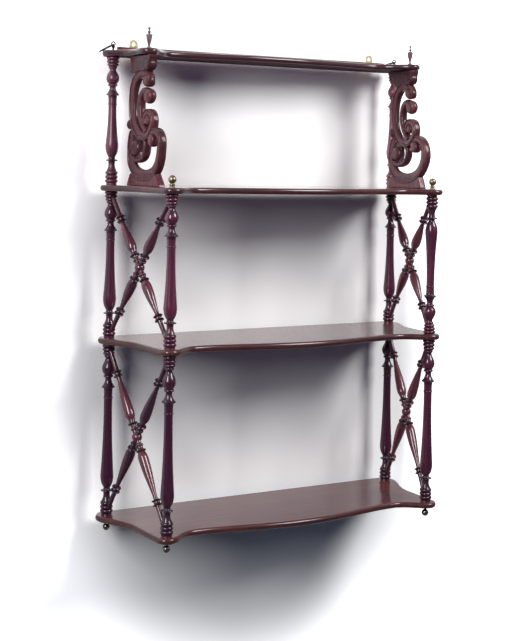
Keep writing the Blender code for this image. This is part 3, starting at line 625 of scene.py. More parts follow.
for hand, side in hands:
    rear = Vector((side * unit["rearX"], unit["rearY"], 0.0))
    front = Vector((side * unit["frontX"], unit["frontY"], 0.0))
    outward = (front - rear).cross(upwards).normalized()
    if outward.x * side < 0:
        outward.negate()
    for bay, floor, ceiling in bays[1:]:
        low = upwards * (floor + spindle["axisInset"])
        high = upwards * (ceiling - spindle["axisInset"])
        for lap, head, foot in (("inner", front + high, rear + low),
                                ("outer", rear + high, front + low)):
            seed += 1
            makeSpindle(f"{bay}_{hand}_{lap}_spindle", head, foot, outward, lap == "inner", seed)
print("spindles turned and lapped")

# Brass hanging plates let into the back edge: round over the hole, straight down the sides
plate = {"x": 0.262, "half": 8.6, "hole": 3.6, "holeUp": 20.1, "low": -4.0, "thick": 1.6,
         "ease": 0.25, "fit": 0.3, "sides": 72, "cornerPower": 14,
         "cutOver": 5.0}  # how far the cuts for it begin behind the back
# Their screws: low domed heads with a driver slot, sunk in the plate, shank into the wood
screw = {"head": 2.3, "shank": 1.2, "crown": -0.3, "sunk": 1.4, "deep": 6.5, "sides": 40,
         "slotHalf": 0.32, "slotDeep": 0.45, "slotOver": 1.4,
         "heights": {"shelf": 0.0, "rail": 9.85},
         "slotTurns": {"left": (24, 71), "right": (118, 50)}}


# from the middle of the hole out to the edge, at a turn from straight up
def plateReach(turn):
    across, up = math.sin(turn), math.cos(turn)
    if up >= 0:
        return plate["half"]
    drop, soft = plate["holeUp"] - plate["low"], plate["cornerPower"]  # rounds the lower corners
    return ((abs(across) / plate["half"]) ** soft + (-up / drop) ** soft) ** (-1 / soft)


# a hole drilled from behind, with room round what goes in
def backHole(x, height, radius, deep):
    out, wide = plate["cutOver"], radius + plate["fit"]
    return (Matrix.Translation((x, (out - deep) / 2 * mm, height * mm)) @ tipped
            @ Matrix.Diagonal((wide * mm, wide * mm, (out + deep) * mm, 1.0)), screw["sides"])


# the wood cut away behind a plate, open at the back and above
def plateRecess(x):
    out, wide, deep = plate["cutOver"], plate["half"] + plate["fit"], plate["thick"] + plate["fit"]
    low, high = plate["low"] - plate["fit"], plate["holeUp"]
    return (Matrix.Translation((x, (out - deep) / 2 * mm, (low + high) / 2 * mm))
            @ Matrix.Diagonal((2 * wide * mm, (out + deep) * mm, (high - low) * mm, 1.0)),)


def makePlate(node, x):
    inset, half = plate["ease"], plate["thick"] / 2
    section = [(1, 0, half - inset), (1, -inset, half), (0, inset, half), (0, 0, half - inset)]
    section += [(edge, shift, -height) for edge, shift, height in reversed(section)]
    bm = bmesh.new()
    rings = []
    for i in range(plate["sides"]):
        turn = math.tau * i / plate["sides"]
        ring = []
        for outer, shift, height in section:
            reach = (plateReach(turn) if outer else plate["hole"]) + shift
            ring.append(bm.verts.new((x + reach * math.sin(turn) * mm, (height - half) * mm,
                                      (plate["holeUp"] + reach * math.cos(turn)) * mm)))
        rings.append(ring)
    bridge(bm, rings + rings[:1])
    bmesh.ops.recalc_face_normals(bm, faces=bm.faces)
    mesh = toMesh(bm, node)
    for height in screw["heights"].values():
        mesh = cutOut(mesh, *backHole(x, height, screw["head"], screw["sunk"]))
        mesh = cutOut(mesh, *backHole(x, height, screw["shank"], screw["deep"]))
    addPiece(node, mesh, plateBrass, [node], sharp=30)


screwProfile = [(0.0, screw["crown"]), (screw["slotHalf"], screw["crown"])]
screwProfile += flow((0.9, -0.32), (1.6, -0.38), (2.1, -0.52), (screw["head"], -0.8))
screwProfile += [(screw["head"], -1.1), (screw["shank"], -1.1), (screw["shank"], -5.2),
                 (0.4, -6.2), (0.0, -6.2)]


def makeScrew(node, x, z, slotTurn):
    lying = Matrix.Translation((x, 0.0, z)) @ Matrix.Rotation(-math.pi / 2, 4, "X")
    turn = Matrix.Rotation(math.radians(slotTurn), 4, "Z")
    piece = turned(node, screwProfile, screw["sides"], plateBrass, Matrix.Identity(4), 1)
    slotSize = Matrix.Diagonal((2 * screw["head"] * screw["slotOver"] * mm,
                                2 * screw["slotHalf"] * mm, 2 * screw["slotDeep"] * mm, 1.0))
    slotPlace = turn @ Matrix.Translation((0.0, 0.0, screw["crown"] * mm))
    piece.data = cutOut(piece.data, slotPlace @ slotSize)
    piece.data.transform(lying)


plateCuts = []
for hand, side in hands:
    x = side * plate["x"]
    makePlate(f"hanging_plate_{hand}", x)
    plateCuts.append(plateRecess(x))
    for (spot, height), slotTurn in zip(screw["heights"].items(), screw["slotTurns"][hand]):
        makeScrew(f"plate_screw_{spot}_{hand}", x, height * mm, slotTurn)
        plateCuts.append(backHole(x, height, screw["shank"], screw["deep"]))
print("plates and screws made")

# Shelves: straight back, ears round the posts, waisted sides and serpentine front, rounded edge
shelf = {"dipInset": 0.063, "steps": 14, "roundDepth": 0.0046, "roundSteps": 10, "seed": 41,
         "squareBack": 0.012,  # this close to the back the edge turns from round to square
         "flatRim": 0.0015,  # a flat ring keeps the rounding out of the boards' shading
         "downFacing": -0.95, "rimShade": 0.6,  # the plain underside, painted darker as shade, and painted shade on the round edge
         "stain": {"top_shelf": 0.4}}  # the top board is darker
quarterRound = 0.5523  # handle length of a quarter circle, in radii
boardGrain = Matrix(((0, 1, 0), (0, 0, 1), (1, 0, 0)))  # fibres run along X


def shelfLine(frontX, depth, dipDepth, bowReach, waistSwell):
    ear = unit["earRadius"]
    bend = ear * quarterRound
    backX, rearY = unit["rearX"], unit["rearY"]
    frontY = rearY - depth
    waist = Vector((frontX + ear + waistSwell, rearY - depth * 0.56))
    dip = Vector((frontX - shelf["dipInset"], frontY + dipDepth))
    bowY = frontY - bowReach
    knots = [  # place, then the handles before and after it
        ((backX, 0.0), (backX - ear, 0.0), (backX + bend, 0.0)),
        ((backX + ear, rearY), (backX + ear, rearY + bend), (backX + ear, rearY - depth * 0.17)),
        (waist, waist + Vector((0.0, depth * 0.25)), waist - Vector((0.0, depth * 0.22))),
        ((frontX + ear, frontY), (frontX + ear, frontY + depth * 0.10),
         (frontX + ear, frontY - bend)),
        ((frontX, frontY - ear), (frontX + bend, frontY - ear), (frontX - ear, frontY - ear)),
        (dip, dip + Vector((shelf["dipInset"] * 0.45, 0.0)), dip - Vector((dip.x * 0.30, 0.0))),
        ((0.0, bowY), (dip.x * 0.40, bowY), (-dip.x * 0.40, bowY)),
    ]
    half = []
    for one, two in zip(knots, knots[1:]):
        a, b, c, d = Vector(one[0]), Vector(one[2]), Vector(two[1]), Vector(two[0])
        for i in range(shelf["steps"]):
            t = i / shelf["steps"]
            half.append(a * (1 - t) ** 3 + b * 3 * t * (1 - t) ** 2 + c * 3 * t * t * (1 - t)
                        + d * t ** 3)
    return half + [Vector((0.0, bowY))] + [Vector((-p.x, p.y)) for p in reversed(half)]


def makeShelf(name, face, line, seed, cuts):
    thick = unit["boardThick"]
    count = len(line)
    inward = []
    for i, point in enumerate(line):
        along = (line[(i + 1) % count] - line[i - 1]).normalized()
        fade = min(1.0, max(0.0, -point.y / shelf["squareBack"]))
        inward.append(Vector((along.y, -along.x)) * fade * fade * (3 - 2 * fade))
    if sum((a.x * b.y - a.y * b.x) for a, b in zip(line, line[1:] + line[:1])) > 0:
        inward = [-v for v in inward]
    bm = bmesh.new()
    rings = []
    turns = [math.pi * k / shelf["roundSteps"] for k in range(shelf["roundSteps"] + 1)]
    sections = [(shelf["roundDepth"] * (1 - math.sin(turn)), math.cos(turn)) for turn in turns]
    flat = shelf["roundDepth"] + shelf["flatRim"]
    for inset, level in [(flat, 1.0)] + sections + [(flat, -1.0)]:
        height = face - thick / 2 + thick / 2 * level
        rings.append([bm.verts.new((*(p + v * inset), height)) for p, v in zip(line, inward)])
    bridge(bm, rings, capped=True)
    bmesh.ops.remove_doubles(bm, verts=bm.verts, dist=sameSpot)  # the rings meet at the square back
    faceOut(bm, bm.faces[:])
    mesh = toMesh(bm, name)
    for cut in cuts:
        mesh = cutOut(mesh, *cut)
    # height above the board's middle, 1 and -1 at its faces
    heights = [2 * (vertex.co.z - face) / thick + 1 for vertex in mesh.vertices]
    # painted shade on the round edge, darkest halfway up it
    rim = [shelf["rimShade"] * math.sqrt(max(0.0, 1 - height * height)) for height in heights]
    setWood(mesh, boardGrain, rim, seed, shelf["stain"].get(name, 0.0))
    addPiece(name, mesh, boardWood, [name], sharp=50)
    # down-facing faces take the unpolished finish that is painted darker as shade
    mesh.materials.append(shadedUndersideWood)
    for polygon in mesh.polygons:
        polygon.material_index = 1 if polygon.normal.z < shelf["downFacing"] else 0


deepLine = shelfLine(unit["frontX"], depth=0.1786, dipDepth=0.0126, bowReach=0.0160,
                     waistSwell=0.002)
topLine = shelfLine(unit["bracketX"], depth=0.0905, dipDepth=0.0325, bowReach=-0.0085,
                    waistSwell=-0.002)
for i, word in enumerate(("top", "second", "third", "bottom")):
    makeShelf(f"{word}_shelf", unit[word + "Face"], deepLine if i else topLine, shelf["seed"] + i,
              () if i else plateCuts)

# Back rail: a low square upstand with eased edges
rail = {"halfLength": 0.296, "height": 0.0084, "thick": 0.008, "ease": 0.0012, "seed": 45}
bm = bmesh.new()
railSize = Matrix.Diagonal((2 * rail["halfLength"], rail["thick"],
                            rail["height"] - unit["seam"], 1.0))
railPlace = Matrix.Translation((0.0, -rail["thick"] / 2,
                                unit["topFace"] + (rail["height"] + unit["seam"]) / 2))
bmesh.ops.create_cube(bm, size=1.0, matrix=railPlace @ railSize)
bmesh.ops.bevel(bm, geom=list(bm.edges), offset=rail["ease"], segments=3, profile=0.5,
                affect="EDGES")
railMesh = toMesh(bm, "back_rail")
for cut in plateCuts:
    railMesh = cutOut(railMesh, *cut)
setWood(railMesh, boardGrain, None, rail["seed"])
addPiece("back_rail", railMesh, boardWood, ["back_rail"])
print("shelves and rail made")

carvedGrain = Matrix(((1, 0, 0), (0, 0, 1), (0, 1, 0)))  # fibres run up the brackets

# Scroll brackets, drawn in millimetres forwards and up from the foot of the urn's axis:
# each band is a centre line with its half width, swept with a moulded or a round section
bracket = {"toe": 2.5, "halfThick": 7.4, "capHalf": 8.4, "plinthHalf": 6.7, "webHalf": 3.4,
           "rollSides": 40, "rollSteps": 6, "pathSteps": 7, "seed": 50, "weld": 0.02,
           "endThick": 0.4,  # share of the thickness left at the rounded ends of a band
           # a band's inner edge: where it begins across, how thick it is when full, and its rim
           "innerFrom": 0.4, "innerFull": 0.94, "innerRim": -0.9,
           "edgeShade": 0.8, "edgeDeep": 5.0,  # painted shade on the narrow sides
           # painted shade: the cap and its roll under the top shelf, the recessed web, the boss and
           # the scrolls round it
           "dust": {"cap": 0.7, "capRoll": 0.8, "web": 1.0, "volute": 0.25, "tailRoll": 0.6,
                    "rearRoll": 0.6, "boss": 0.45, "bossScroll": 0.45, "innerStrand": 0.25},
           "crevice": 1.0, "creviceWide": 2.6,  # painted shade along the lines where the bands meet
           "dowels": (-36.0, 30.0), "dowelHole": 2.8, "dowelRise": 12.3, "dowelSides": 24,
           # carved by hand: at each height, how far the two differ from the drawing, as a shift
           # and as a share forwards and backwards of the axis
           "handWork": ((0, 0.0, 0.0, 0.0), (25, 1.5, 0.04, 0.0), (60, 2.0, 0.07, 0.0),
                        (105, 2.0, 0.0, 0.03), (145, 2.0, 0.0, 0.05), (190, 2.0, 0.0, 0.04),
                        (206, 1.0, 0.0, 0.0), (232, 0.0, 0.0, 0.0))}
sections = {  # across the band from its outer edge, share of the thickness, painted shade there
    "moulded": [(1.0, 0.0, 0.9), (0.99, 0.36, 0.6), (0.965, 0.60, 0.2), (0.92, 0.80, 0.0),
        (0.84, 0.94, 0.0), (0.74, 1.0, 0.0), (0.64, 0.96, 0.0), (0.56, 0.86, 0.6),
        (0.51, 0.79, 1.0), (0.45, 0.79, 0.9), (0.34, 0.83, 0.4), (0.12, 0.83, 0.2),
        (-0.14, 0.77, 0.2), (-0.42, 0.68, 0.25), (-0.70, 0.56, 0.35), (-0.90, 0.44, 0.6),
        (-0.985, 0.28, 0.8), (-1.0, 0.0, 0.9)],
    "round": [(1.0, 0.0, 0.9), (0.98, 0.32, 0.7), (0.91, 0.55, 0.4), (0.80, 0.74, 0.2),
        (0.64, 0.88, 0.0), (0.44, 0.96, 0.0), (0.20, 1.0, 0.0), (-0.10, 1.0, 0.0),
        (-0.38, 0.96, 0.0), (-0.62, 0.87, 0.1), (-0.80, 0.72, 0.3), (-0.93, 0.50, 0.5),
        (-0.99, 0.26, 0.7), (-1.0, 0.0, 0.9)],
}
bands = {  # middle forwards and up, half width, how full the inner edge is left
    "upperScroll": ("moulded", [(8, 179, 6, 0.7), (8, 188, 6.8, 0.7), (1.5, 196.2, 7.2, 0.7),
        (-11, 200, 7.4, 0.7), (-25.4, 197.6, 7.8, 0.7), (-37, 188.4, 8, 0.7),
        (-45.2, 175, 7.8, 0.55), (-48.2, 158, 7.5, 0.25), (-48.6, 141, 7.6, 0),
        (-46, 121.5, 8, 0), (-36, 103, 8.3, 0), (-21, 90.5, 8, 0.2), (-5, 86.8, 7.8, 0.4),
        (9.2, 91, 7.4, 0.5), (19.6, 101, 7.2, 0.5), (23.6, 114, 7, 0.5), (18.8, 125.6, 6.6, 0.5),
        (8, 129.8, 6.2, 0.5), (-1, 126, 5.6, 0.5), (-5, 118, 4.8, 0.5), (-3.5, 110, 4, 0.5)]),
    "innerStrand": ("round", [(6, 165.5, 6, 0), (-6, 167.6, 6.4, 0), (-17, 160, 6.4, 0),
        (-21.5, 147, 6.4, 0), (-21.2, 132, 6.4, 0), (-16.6, 119, 6.2, 0), (-9, 107, 5.6, 0),
        (1, 97, 5, 0)]),
    "lowerScroll": ("moulded", [(20, 80, 5, 0.5), (20.5, 90, 6, 0.5), (31.5, 96, 7, 0.4),
        (44.6, 91.5, 8.2, 0.2), (52.6, 80, 9.4, 0), (53.8, 65, 10.2, 0), (50.6, 50, 10.4, 0),
        (42.4, 36, 10.2, 0), (28.6, 25, 10.4, 0), (9, 19.2, 10.6, 0), (-14, 19.2, 10.4, 0),
        (-36, 26, 10, 0), (-51, 40, 10, 0), (-53.4, 57, 9.6, 0), (-52, 76, 9.6, 0.2),
        (-47, 93, 9, 0.4)]),
    "bossScroll": ("round", [(-24, 84, 6, 0), (-11, 84.4, 5.4, 0), (-2, 80, 5, 0),
        (1.4, 70, 4.8, 0), (-1.2, 58.5, 4.8, 0), (-9, 49.8, 4.8, 0), (-20, 46, 4.8, 0),
        (-32, 45.6, 5, 0), (-43, 49, 5.6, 0)]),
}
rolls = {  # middle forwards and up, half sizes forwards and up, half thickness, rounding
    "topRoll": (3, 185.5, 13, 11.5, 8.4, 7.4), "ballRoll": (8.6, 158, 13.3, 13.5, 9.0, 8.4),
    "volute": (6.5, 116, 8.6, 9, 6.4, 4.6), "curlRoll": (24.5, 80.5, 10.8, 11.5, 8.4, 6.0),
    "rearRoll": (-58.4, 109, 9.2, 9.4, 6.4, 5.4), "capRoll": (5.5, 214.5, 11.2, 12.4, 9.2, 4.6),
    "tailRoll": (-46, 60.5, 7, 7, 8.3, 4.0), "boss": (-35, 67, 15, 15, 9.4, 9.0),
}
slabs = {  # outline forwards and up, half thickness, eased edge
    "cap": ([(-56, 230.9), (-55.6, 226), (-53, 219), (-49.5, 211), (-45, 204), (-38, 199),
        (-20, 203), (-4, 202), (4, 206), (15.4, 214), (17, 223), (18.6, 226), (18.6, 230.9)],
        bracket["capHalf"], 1.4),
    "plinth": ([(-64.5, 0.1), (-63, 4), (-59.5, 11), (-55, 17), (-51.5, 22), (43, 22), (46.5, 16),
        (51.5, 8), (54.4, 3), (55, 0.1)], bracket["plinthHalf"], 1.2),
    "web": ([(-52, 97), (-30, 86), (-18, 84), (-20, 62), (-18, 50), (-30, 44), (-50, 50)],
        bracket["webHalf"], 0.6),
}


def handWork(side, forward, up):
    keys = bracket["handWork"]
    for (low, *one), (high, *two) in zip(keys, keys[1:]):
        if low <= up <= high:
            share = (up - low) / (high - low)
            shift, ahead, behind = (a + (b - a) * share for a, b in zip(one, two))
            return forward + side * (shift + abs(forward) * (ahead if forward > 0 else behind))
    return forward


def sweepBand(bm, dust, section, keys):
    path = flow(*keys, steps=bracket["pathSteps"])
    half = sections[section]
    loop = half + [(u, -v, d) for u, v, d in reversed(half[1:-1])]
    area = sum(a[0] * b[1] - b[0] * a[1] for a, b in zip(path, path[1:] + path[:1]))
    outer = 1 if area > 0 else -1
    ends = [(0.75, 0.06), (0.64, 0.45), (0.38, 0.80)]  # rounded ends: reach beyond the end, size
    rows = [(0, -reach, size) for reach, size in ends]
    rows += [(i, 0.0, 1.0) for i in range(len(path))]
    rows += [(len(path) - 1, reach, size) for reach, size in reversed(ends)]
    rings = []
    for i, reach, size in rows:
        ring, full = [], path[i][3]
        before, after = path[max(i - 1, 0)], path[min(i + 1, len(path) - 1)]
        along = Vector((after[0] - before[0], after[1] - before[1])).normalized()
        side = Vector((along.y, -along.x)) * outer
        width = path[i][2]
        middle = Vector(path[i][:2]) + along * reach * width
        thick = bracket["halfThick"] * (bracket["endThick"] + (1 - bracket["endThick"]) * size)
        for u, v, d in loop:
            if u < bracket["innerFrom"] and v:  # the inner edge runs out thin, or stays full
                more = full * (1 if u > bracket["innerRim"] else 0.5)
                v += math.copysign(bracket["innerFull"] - abs(v), v) * more
            ring.append(bm.verts.new((*(middle + side * width * size * u), v * thick)))
        rings.append(ring)
        dust.extend(d for u, v, d in loop)
    bridge(bm, rings, capped=True)


def addRoll(bm, forward, up, halfForward, halfUp, half, rounding):
    sides, steps = bracket["rollSides"], bracket["rollSteps"]
    profile = [(0.0, half + 0.5), (0.5, half + 0.35)]  # share of the size, height: a domed face
    inner = 1 - rounding / max(halfForward, halfUp)
    for k in range(steps + 1):
        turn = math.pi / 2 * k / steps
        profile.append((inner + (1 - inner) * math.sin(turn),
                        half - rounding + rounding * math.cos(turn)))
    profile += [(share, -height) for share, height in reversed(profile)]
    rings = []
    for share, height in profile[1:-1]:
        rings.append([bm.verts.new((forward + halfForward * share * math.cos(math.tau * i / sides),
                                    up + halfUp * share * math.sin(math.tau * i / sides), height))
                      for i in range(sides)])
    bridge(bm, rings)
    for ring, height in ((rings[0], profile[0][1]), (rings[-1], profile[-1][1])):
        tip = bm.verts.new((forward, up, height))
        for i in range(sides):
            bm.faces.new((ring[i], ring[(i + 1) % sides], tip))


def addSlab(bm, outline, half, ease):
    slab = bmesh.new()
    front = [slab.verts.new((f, z, half)) for f, z in outline]
    back = [slab.verts.new((f, z, -half)) for f, z in outline]
    slab.faces.new(front)
    slab.faces.new(back)
    bridge(slab, [front, back])
    bmesh.ops.recalc_face_normals(slab, faces=slab.faces)
    rim = [e for e in slab.edges if abs(e.verts[0].co.z - e.verts[1].co.z) < sameSpot]
    bmesh.ops.bevel(slab, geom=rim, offset=ease, segments=3, profile=0.5, affect="EDGES")
    piece = toMesh(slab, "slab")
    bm.from_mesh(piece)
    bpy.data.meshes.remove(piece)


# halves the long edges of a triangle mesh; both neighbours share the new point, so it stays closed
def splitLong(spots, dust, triangles, longest):
    middles = {}

    def middle(a, b):
        key = frozenset((a, b))
        if key not in middles:
            middles[key] = None
            if (spots[a] - spots[b]).length > longest:
                middles[key] = len(spots)
                spots.append((spots[a] + spots[b]) / 2)
                dust.append((dust[a] + dust[b]) / 2)
        return middles[key]

    result = []
    for a, b, c in triangles:
        halves = [middle(a, b), middle(b, c), middle(c, a)]
        split = sum(half is not None for half in halves)
        while 0 < split < 3 and (halves[0] is None or (split == 2 and halves[1] is None)):
            a, b, c = b, c, a
            halves = halves[1:] + halves[:1]
        ab, bc, ca = halves
        result += {0: [(a, b, c)], 1: [(a, ab, c), (ab, b, c)],
                   2: [(ab, b, bc), (a, ab, bc), (a, bc, c)],
                   3: [(a, ab, ca), (ab, b, bc), (ca, bc, c), (ab, bc, ca)]}[split]
    return result


def pointTree(spots):
    tree = KDTree(len(spots))
    for i, spot in enumerate(spots):
        tree.insert(spot, i)
    tree.balance()
    return tree


# all bands, rolls and slabs of a bracket, as shells that run through each other, and their painted
# shade
def bracketShells(node, side):
    bm = bmesh.new()
    dust = []

    def closeShell(name, known):
        # the shell just added gets its own painted shade, and its faces point out
        own = bracket["dust"].get(name, 0.0)
        dust[known:] = [max(d, own) for d in dust[known:]]
        dust.extend([own] * (len(bm.verts) - len(dust)))
        faceOut(bm, [face for face in bm.faces if not face.tag])
        for face in bm.faces:
            face.tag = True

    for name, (section, keys) in bands.items():
        known = len(dust)
        sweepBand(bm, dust, section, keys)
        closeShell(name, known)
    for name, sizes in rolls.items():
        addRoll(bm, *sizes)
        closeShell(name, len(dust))
    for name, (outline, half, ease) in slabs.items():
        addSlab(bm, outline, half, ease)
        closeShell(name, len(dust))
    for i, vertex in enumerate(bm.verts):
        narrow = 1 - abs(vertex.co.z) / bracket["edgeDeep"]
        dust[i] = max(dust[i], bracket["edgeShade"] * narrow)
        vertex.co.x = handWork(side, vertex.co.x, vertex.co.y)
    bmesh.ops.scale(bm, vec=(mm, mm, mm), verts=bm.verts)
    return toMesh(bm, node), dust


def makeBracket(node, side, seed):
    shells, dust = bracketShells(node, side)
    mesh = shells
    nearest = pointTree([vertex.co for vertex in shells.vertices])
    wide, deep = bracket["dowelHole"] * mm, 2 * bracket["dowelRise"] * mm
    for forward in bracket["dowels"]:
        hole = Matrix.Translation((forward * mm, 0.0, 0.0)) @ tipped
        mesh = cutOut(mesh, hole @ Matrix.Diagonal((wide, wide, deep, 1.0)), bracket["dowelSides"],
                      joinShells=mesh is shells)
    bm = bmesh.new()
    bm.from_mesh(mesh)
    bmesh.ops.remove_doubles(bm, verts=bm.verts, dist=bracket["weld"] * mm)
    bmesh.ops.dissolve_verts(bm, verts=[v for v in bm.verts if len(v.link_edges) == 2])
    bmesh.ops.triangulate(bm, faces=bm.faces, ngon_method="BEAUTY")
    bm.verts.index_update()
    spots = [vertex.co.copy() for vertex in bm.verts]
    triangles = [tuple(vertex.index for vertex in face.verts) for face in bm.faces]
    bm.free()
    found = [nearest.find(spot) for spot in spots]
    joints = [spot for spot, (_, _, away) in zip(spots, found) if away > bracket["weld"] * mm]
    dust = [dust[i] for _, i, _ in found]
    for _ in range(2):  # the flat sides need points enough to carry the painted shade
        triangles = splitLong(spots, dust, triangles, bracket["creviceWide"] * mm)
    crevice = pointTree(joints)
    for i, spot in enumerate(spots):
        away = crevice.find(spot)[2] / (bracket["creviceWide"] * mm)
        dust[i] = max(dust[i], bracket["crevice"] * (1 - away))
    mesh = bpy.data.meshes.new(node)
    mesh.from_pydata(spots, [], triangles)
    setWood(mesh, carvedGrain, dust, seed)
    toe = math.radians(bracket["toe"])
    forward = Vector((-side * math.sin(toe), -math.cos(toe), 0.0))
    place = Matrix((forward, upwards, forward.cross(upwards))).transposed().to_4x4()
    place.translation = (side * unit["bracketX"], unit["bracketY"], unit["secondFace"])
    mesh.transform(place)
    addPiece(node, mesh, carvingWood, [node])


for hand, side in hands:
    makeBracket(f"scroll_bracket_{hand}", side, bracket["seed"] + side)
print("scroll brackets carved")

# Urn finials on the top shelf
urn = {"sides": 40, "seed": 60}
urnProfile = ball(2.5, 34.9, 0, 150, 12) + flow((1.3, 32.5), (1.2, 31.6), (1.4, 30.8))
urnProfile += bead(30.6, 26.6, 1.4, 2.7)
urnProfile += flow((1.4, 26.4), (1.5, 25.9), (2.6, 25.2), (4.6, 24.4), (5.6, 23.8))
urnProfile += bead(23.7, 21.9, 5.5, 6.0, 6)
urnProfile += flow((5.4, 21.8), (5.1, 18.5), (4.2, 14.0), (3.1, 10.2), (2.4, 8.4))
urnProfile += bead(8.2, 6.8, 2.2, 2.9, 6)
urnProfile += flow((2.1, 6.7), (1.8, 5.2), (2.2, 3.6), (3.4, 2.2), (4.0, 1.6))
urnProfile += [(4.2, 0.1), (0.0, 0.1)]
for hand, side in hands:
    place = Matrix.Translation((side * unit["bracketX"], unit["bracketY"], unit["topFace"]))
    turned(f"urn_finial_{hand}", urnProfile, urn["sides"], urnWood, place, urn["seed"] + side)

# Brass ball finials and feet
brassBall = {"sides": 44}
finialProfile = ball(7.1, 13.9, 0, 146, 22) + flow((3.9, 7.9), (3.6, 7.0), (3.9, 6.2))
finialProfile += bead(6.0, 3.6, 4.0, 5.3) + flow((4.2, 3.5), (4.0, 2.8), (4.8, 1.8), (5.2, 1.2))
finialProfile += [(5.2, 0.1), (0.0, 0.1)]
footProfile = [(0.0, -0.1), (4.2, -0.1), (4.2, -0.9)]
footProfile += flow((4.0, -1.2), (2.8, -2.2), (2.2, -3.4), (2.4, -4.6), (2.9, -5.6))
footProfile += ball(6.5, -11.5, 26, 180, 22)
for hand, side in hands:
    place = Matrix.Translation((side * unit["frontX"], unit["frontY"], unit["secondFace"]))
    turned(f"ball_finial_{hand}", finialProfile, brassBall["sides"], brass, place, 1)
    for end in ("rear", "front"):
        place = Matrix.Translation((side * unit[end + "X"], unit[end + "Y"],
                                    underside(unit["bottomFace"])))
        turned(f"ball_foot_{end}_{hand}", footProfile, brassBall["sides"], footBrass, place, 1)
print("finials and feet turned")

# Screw eyes over the rear posts, and the wire loops that lie in them
eye = {"rise": 0.0119, "ring": 0.0070, "wire": 0.0024, "sides": 28}
loop = {"length": 0.0309, "width": 0.016, "wire": 0.0020, "drop": 0.0010,
        "tilt": {"left": 28.685, "right": 18.038}}
throatProfile = [(0.0, -3.2), (1.6, -3.2), (2.6, -3.6), (3.2, -4.3)]
throatProfile += flow((3.3, -4.7), (2.6, -6.6), (1.9, -9.4), (1.5, -11.5))
throatProfile += [(1.5, -16.0), (0.0, -16.0)]


def bendWire(name, length, width, thickness):
    return grow(name, bpy.data.meshes.new(name), wireRing,
                {"Length": length, "Width": width, "Thickness": thickness, "Finish": iron})


for hand, side in hands:
    middle = Vector((side * unit["rearX"], unit["rearY"], unit["topFace"] + eye["rise"]))
    ring = bendWire("eyeRing", eye["ring"], eye["ring"], eye["wire"])
    ring.transform(Matrix.Translation(middle) @ tipped)
    addPiece(f"screw_eye_ring_{hand}", ring, iron, [])
    turned(f"screw_eye_{hand}", throatProfile, eye["sides"], iron, Matrix.Translation(middle), 1)
    wire = bendWire("loopWire", loop["length"], loop["width"], loop["wire"])
    wire.transform(Matrix.Translation((-loop["length"] / 2, 0.0, 0.0)))
    wire.transform(Matrix.Translation(middle - Vector((0.0, 0.0, loop["drop"])))
                   @ Matrix.Rotation(-math.radians(loop["tilt"][hand]), 4, "Y"))
    addPiece(f"hanging_loop_{hand}", wire, iron, [f"hanging_loop_{hand}"],
             f"{hand}_loop")
print("eyes and loops made")

# Dowels stay as solids, in plain unpolished wood
for name, node in frame["nodes"].items():
    if "dowel" in name:
        node.data.materials.clear()
        node.data.materials.append(dowelWood)

# Wall and floor: matt white paint, see-through from behind; the wall carries painted light, brighter
# away from the shelf and brighter higher up in reflections
stage = {"wall": "#dbdad9", "floor": "#505050", "floorDrop": -1.90, "halfWidth": 4.0, "top": 2.4,
         "depth": 3.1, "wallGap": 0.022,
         # painted light: how much whiter the paint is made for the camera, near the shelf and away
         # from it, and in reflections, below and above the heights that follow
         "wallSeen": {"near": 1.6, "away": 3.6, "mirroredLow": 1.08, "mirroredHigh": 1.9},
         "floorSeen": {"near": 12.0, "away": 12.0, "mirroredLow": 2.4, "mirroredHigh": 2.4},
         "mirroredFrom": -0.72, "mirroredTo": -0.15,
         # the egg-shaped part of the wall that counts as near, in half sizes and shares of them
         "glow": {"middle": (0.02, 0.0, -0.62), "halfWide": 0.36, "halfDeep": 1000.0,
                  "halfHigh": 0.49, "upwards": 0.54, "starts": 0.9, "full": 1.3}}


def mattPaint(name, colour, seen):
    material, tree, shader = newMaterial(name)
    tree.nodes.remove(shader)
    plain = toLinear(colour)
    bright = {key: tuple(c * gain for c in plain[:3]) + (1.0,) for key, gain in seen.items()}
    glow, vectors = stage["glow"], "ShaderNodeVectorMath"
    spot = ownPlace(tree)
    rays = addNode(tree, "ShaderNodeLightPath").outputs
    oval = addNode(tree, "ShaderNodeMapping", {
        "Location": glow["middle"], "Vector": spot,
        "Scale": (glow["halfWide"], glow["halfDeep"], glow["halfHigh"])}, vector_type="TEXTURE")
    down = calc(tree, "MULTIPLY", oval, (1.0, 1.0, -1.0), kind=vectors)
    up = calc(tree, "MULTIPLY", oval, (1.0, 1.0, glow["upwards"]), kind=vectors)
    reach = calc(tree, "LENGTH", calc(tree, "MAXIMUM", down, up, kind=vectors), kind=vectors)
    fade = span(tree, reach, glow["starts"], glow["full"], "From", interpolation_type="SMOOTHSTEP")
    height = addNode(tree, "ShaderNodeSeparateXYZ", {0: spot}).outputs["Z"]
    rise = span(tree, height, stage["mirroredFrom"], stage["mirroredTo"], "From",
                interpolation_type="SMOOTHSTEP")
    # painted light: the wall brighter away from the shelf, and brighter in reflections higher up
    straight = blend(tree, fade, bright["near"], bright["away"])
    image = blend(tree, rise, bright["mirroredLow"], bright["mirroredHigh"])
    inMirror = blend(tree, bouncedShare(tree, rays), plain, image)
    white = blend(tree, rays["Is Camera Ray"], inMirror, straight)
    paint = addNode(tree, "ShaderNodeBsdfDiffuse", {"Color": white})
    clear = addNode(tree, "ShaderNodeBsdfTransparent")
    facing = addNode(tree, "ShaderNodeNewGeometry").outputs
    unseen = calc(tree, "MAXIMUM", facing["Backfacing"], rays["Is Shadow Ray"])
    feed(tree, tree.nodes["Material Output"], {
        "Surface": addNode(tree, "ShaderNodeMixShader", {0: unseen, 1: paint, 2: clear})})
    return material


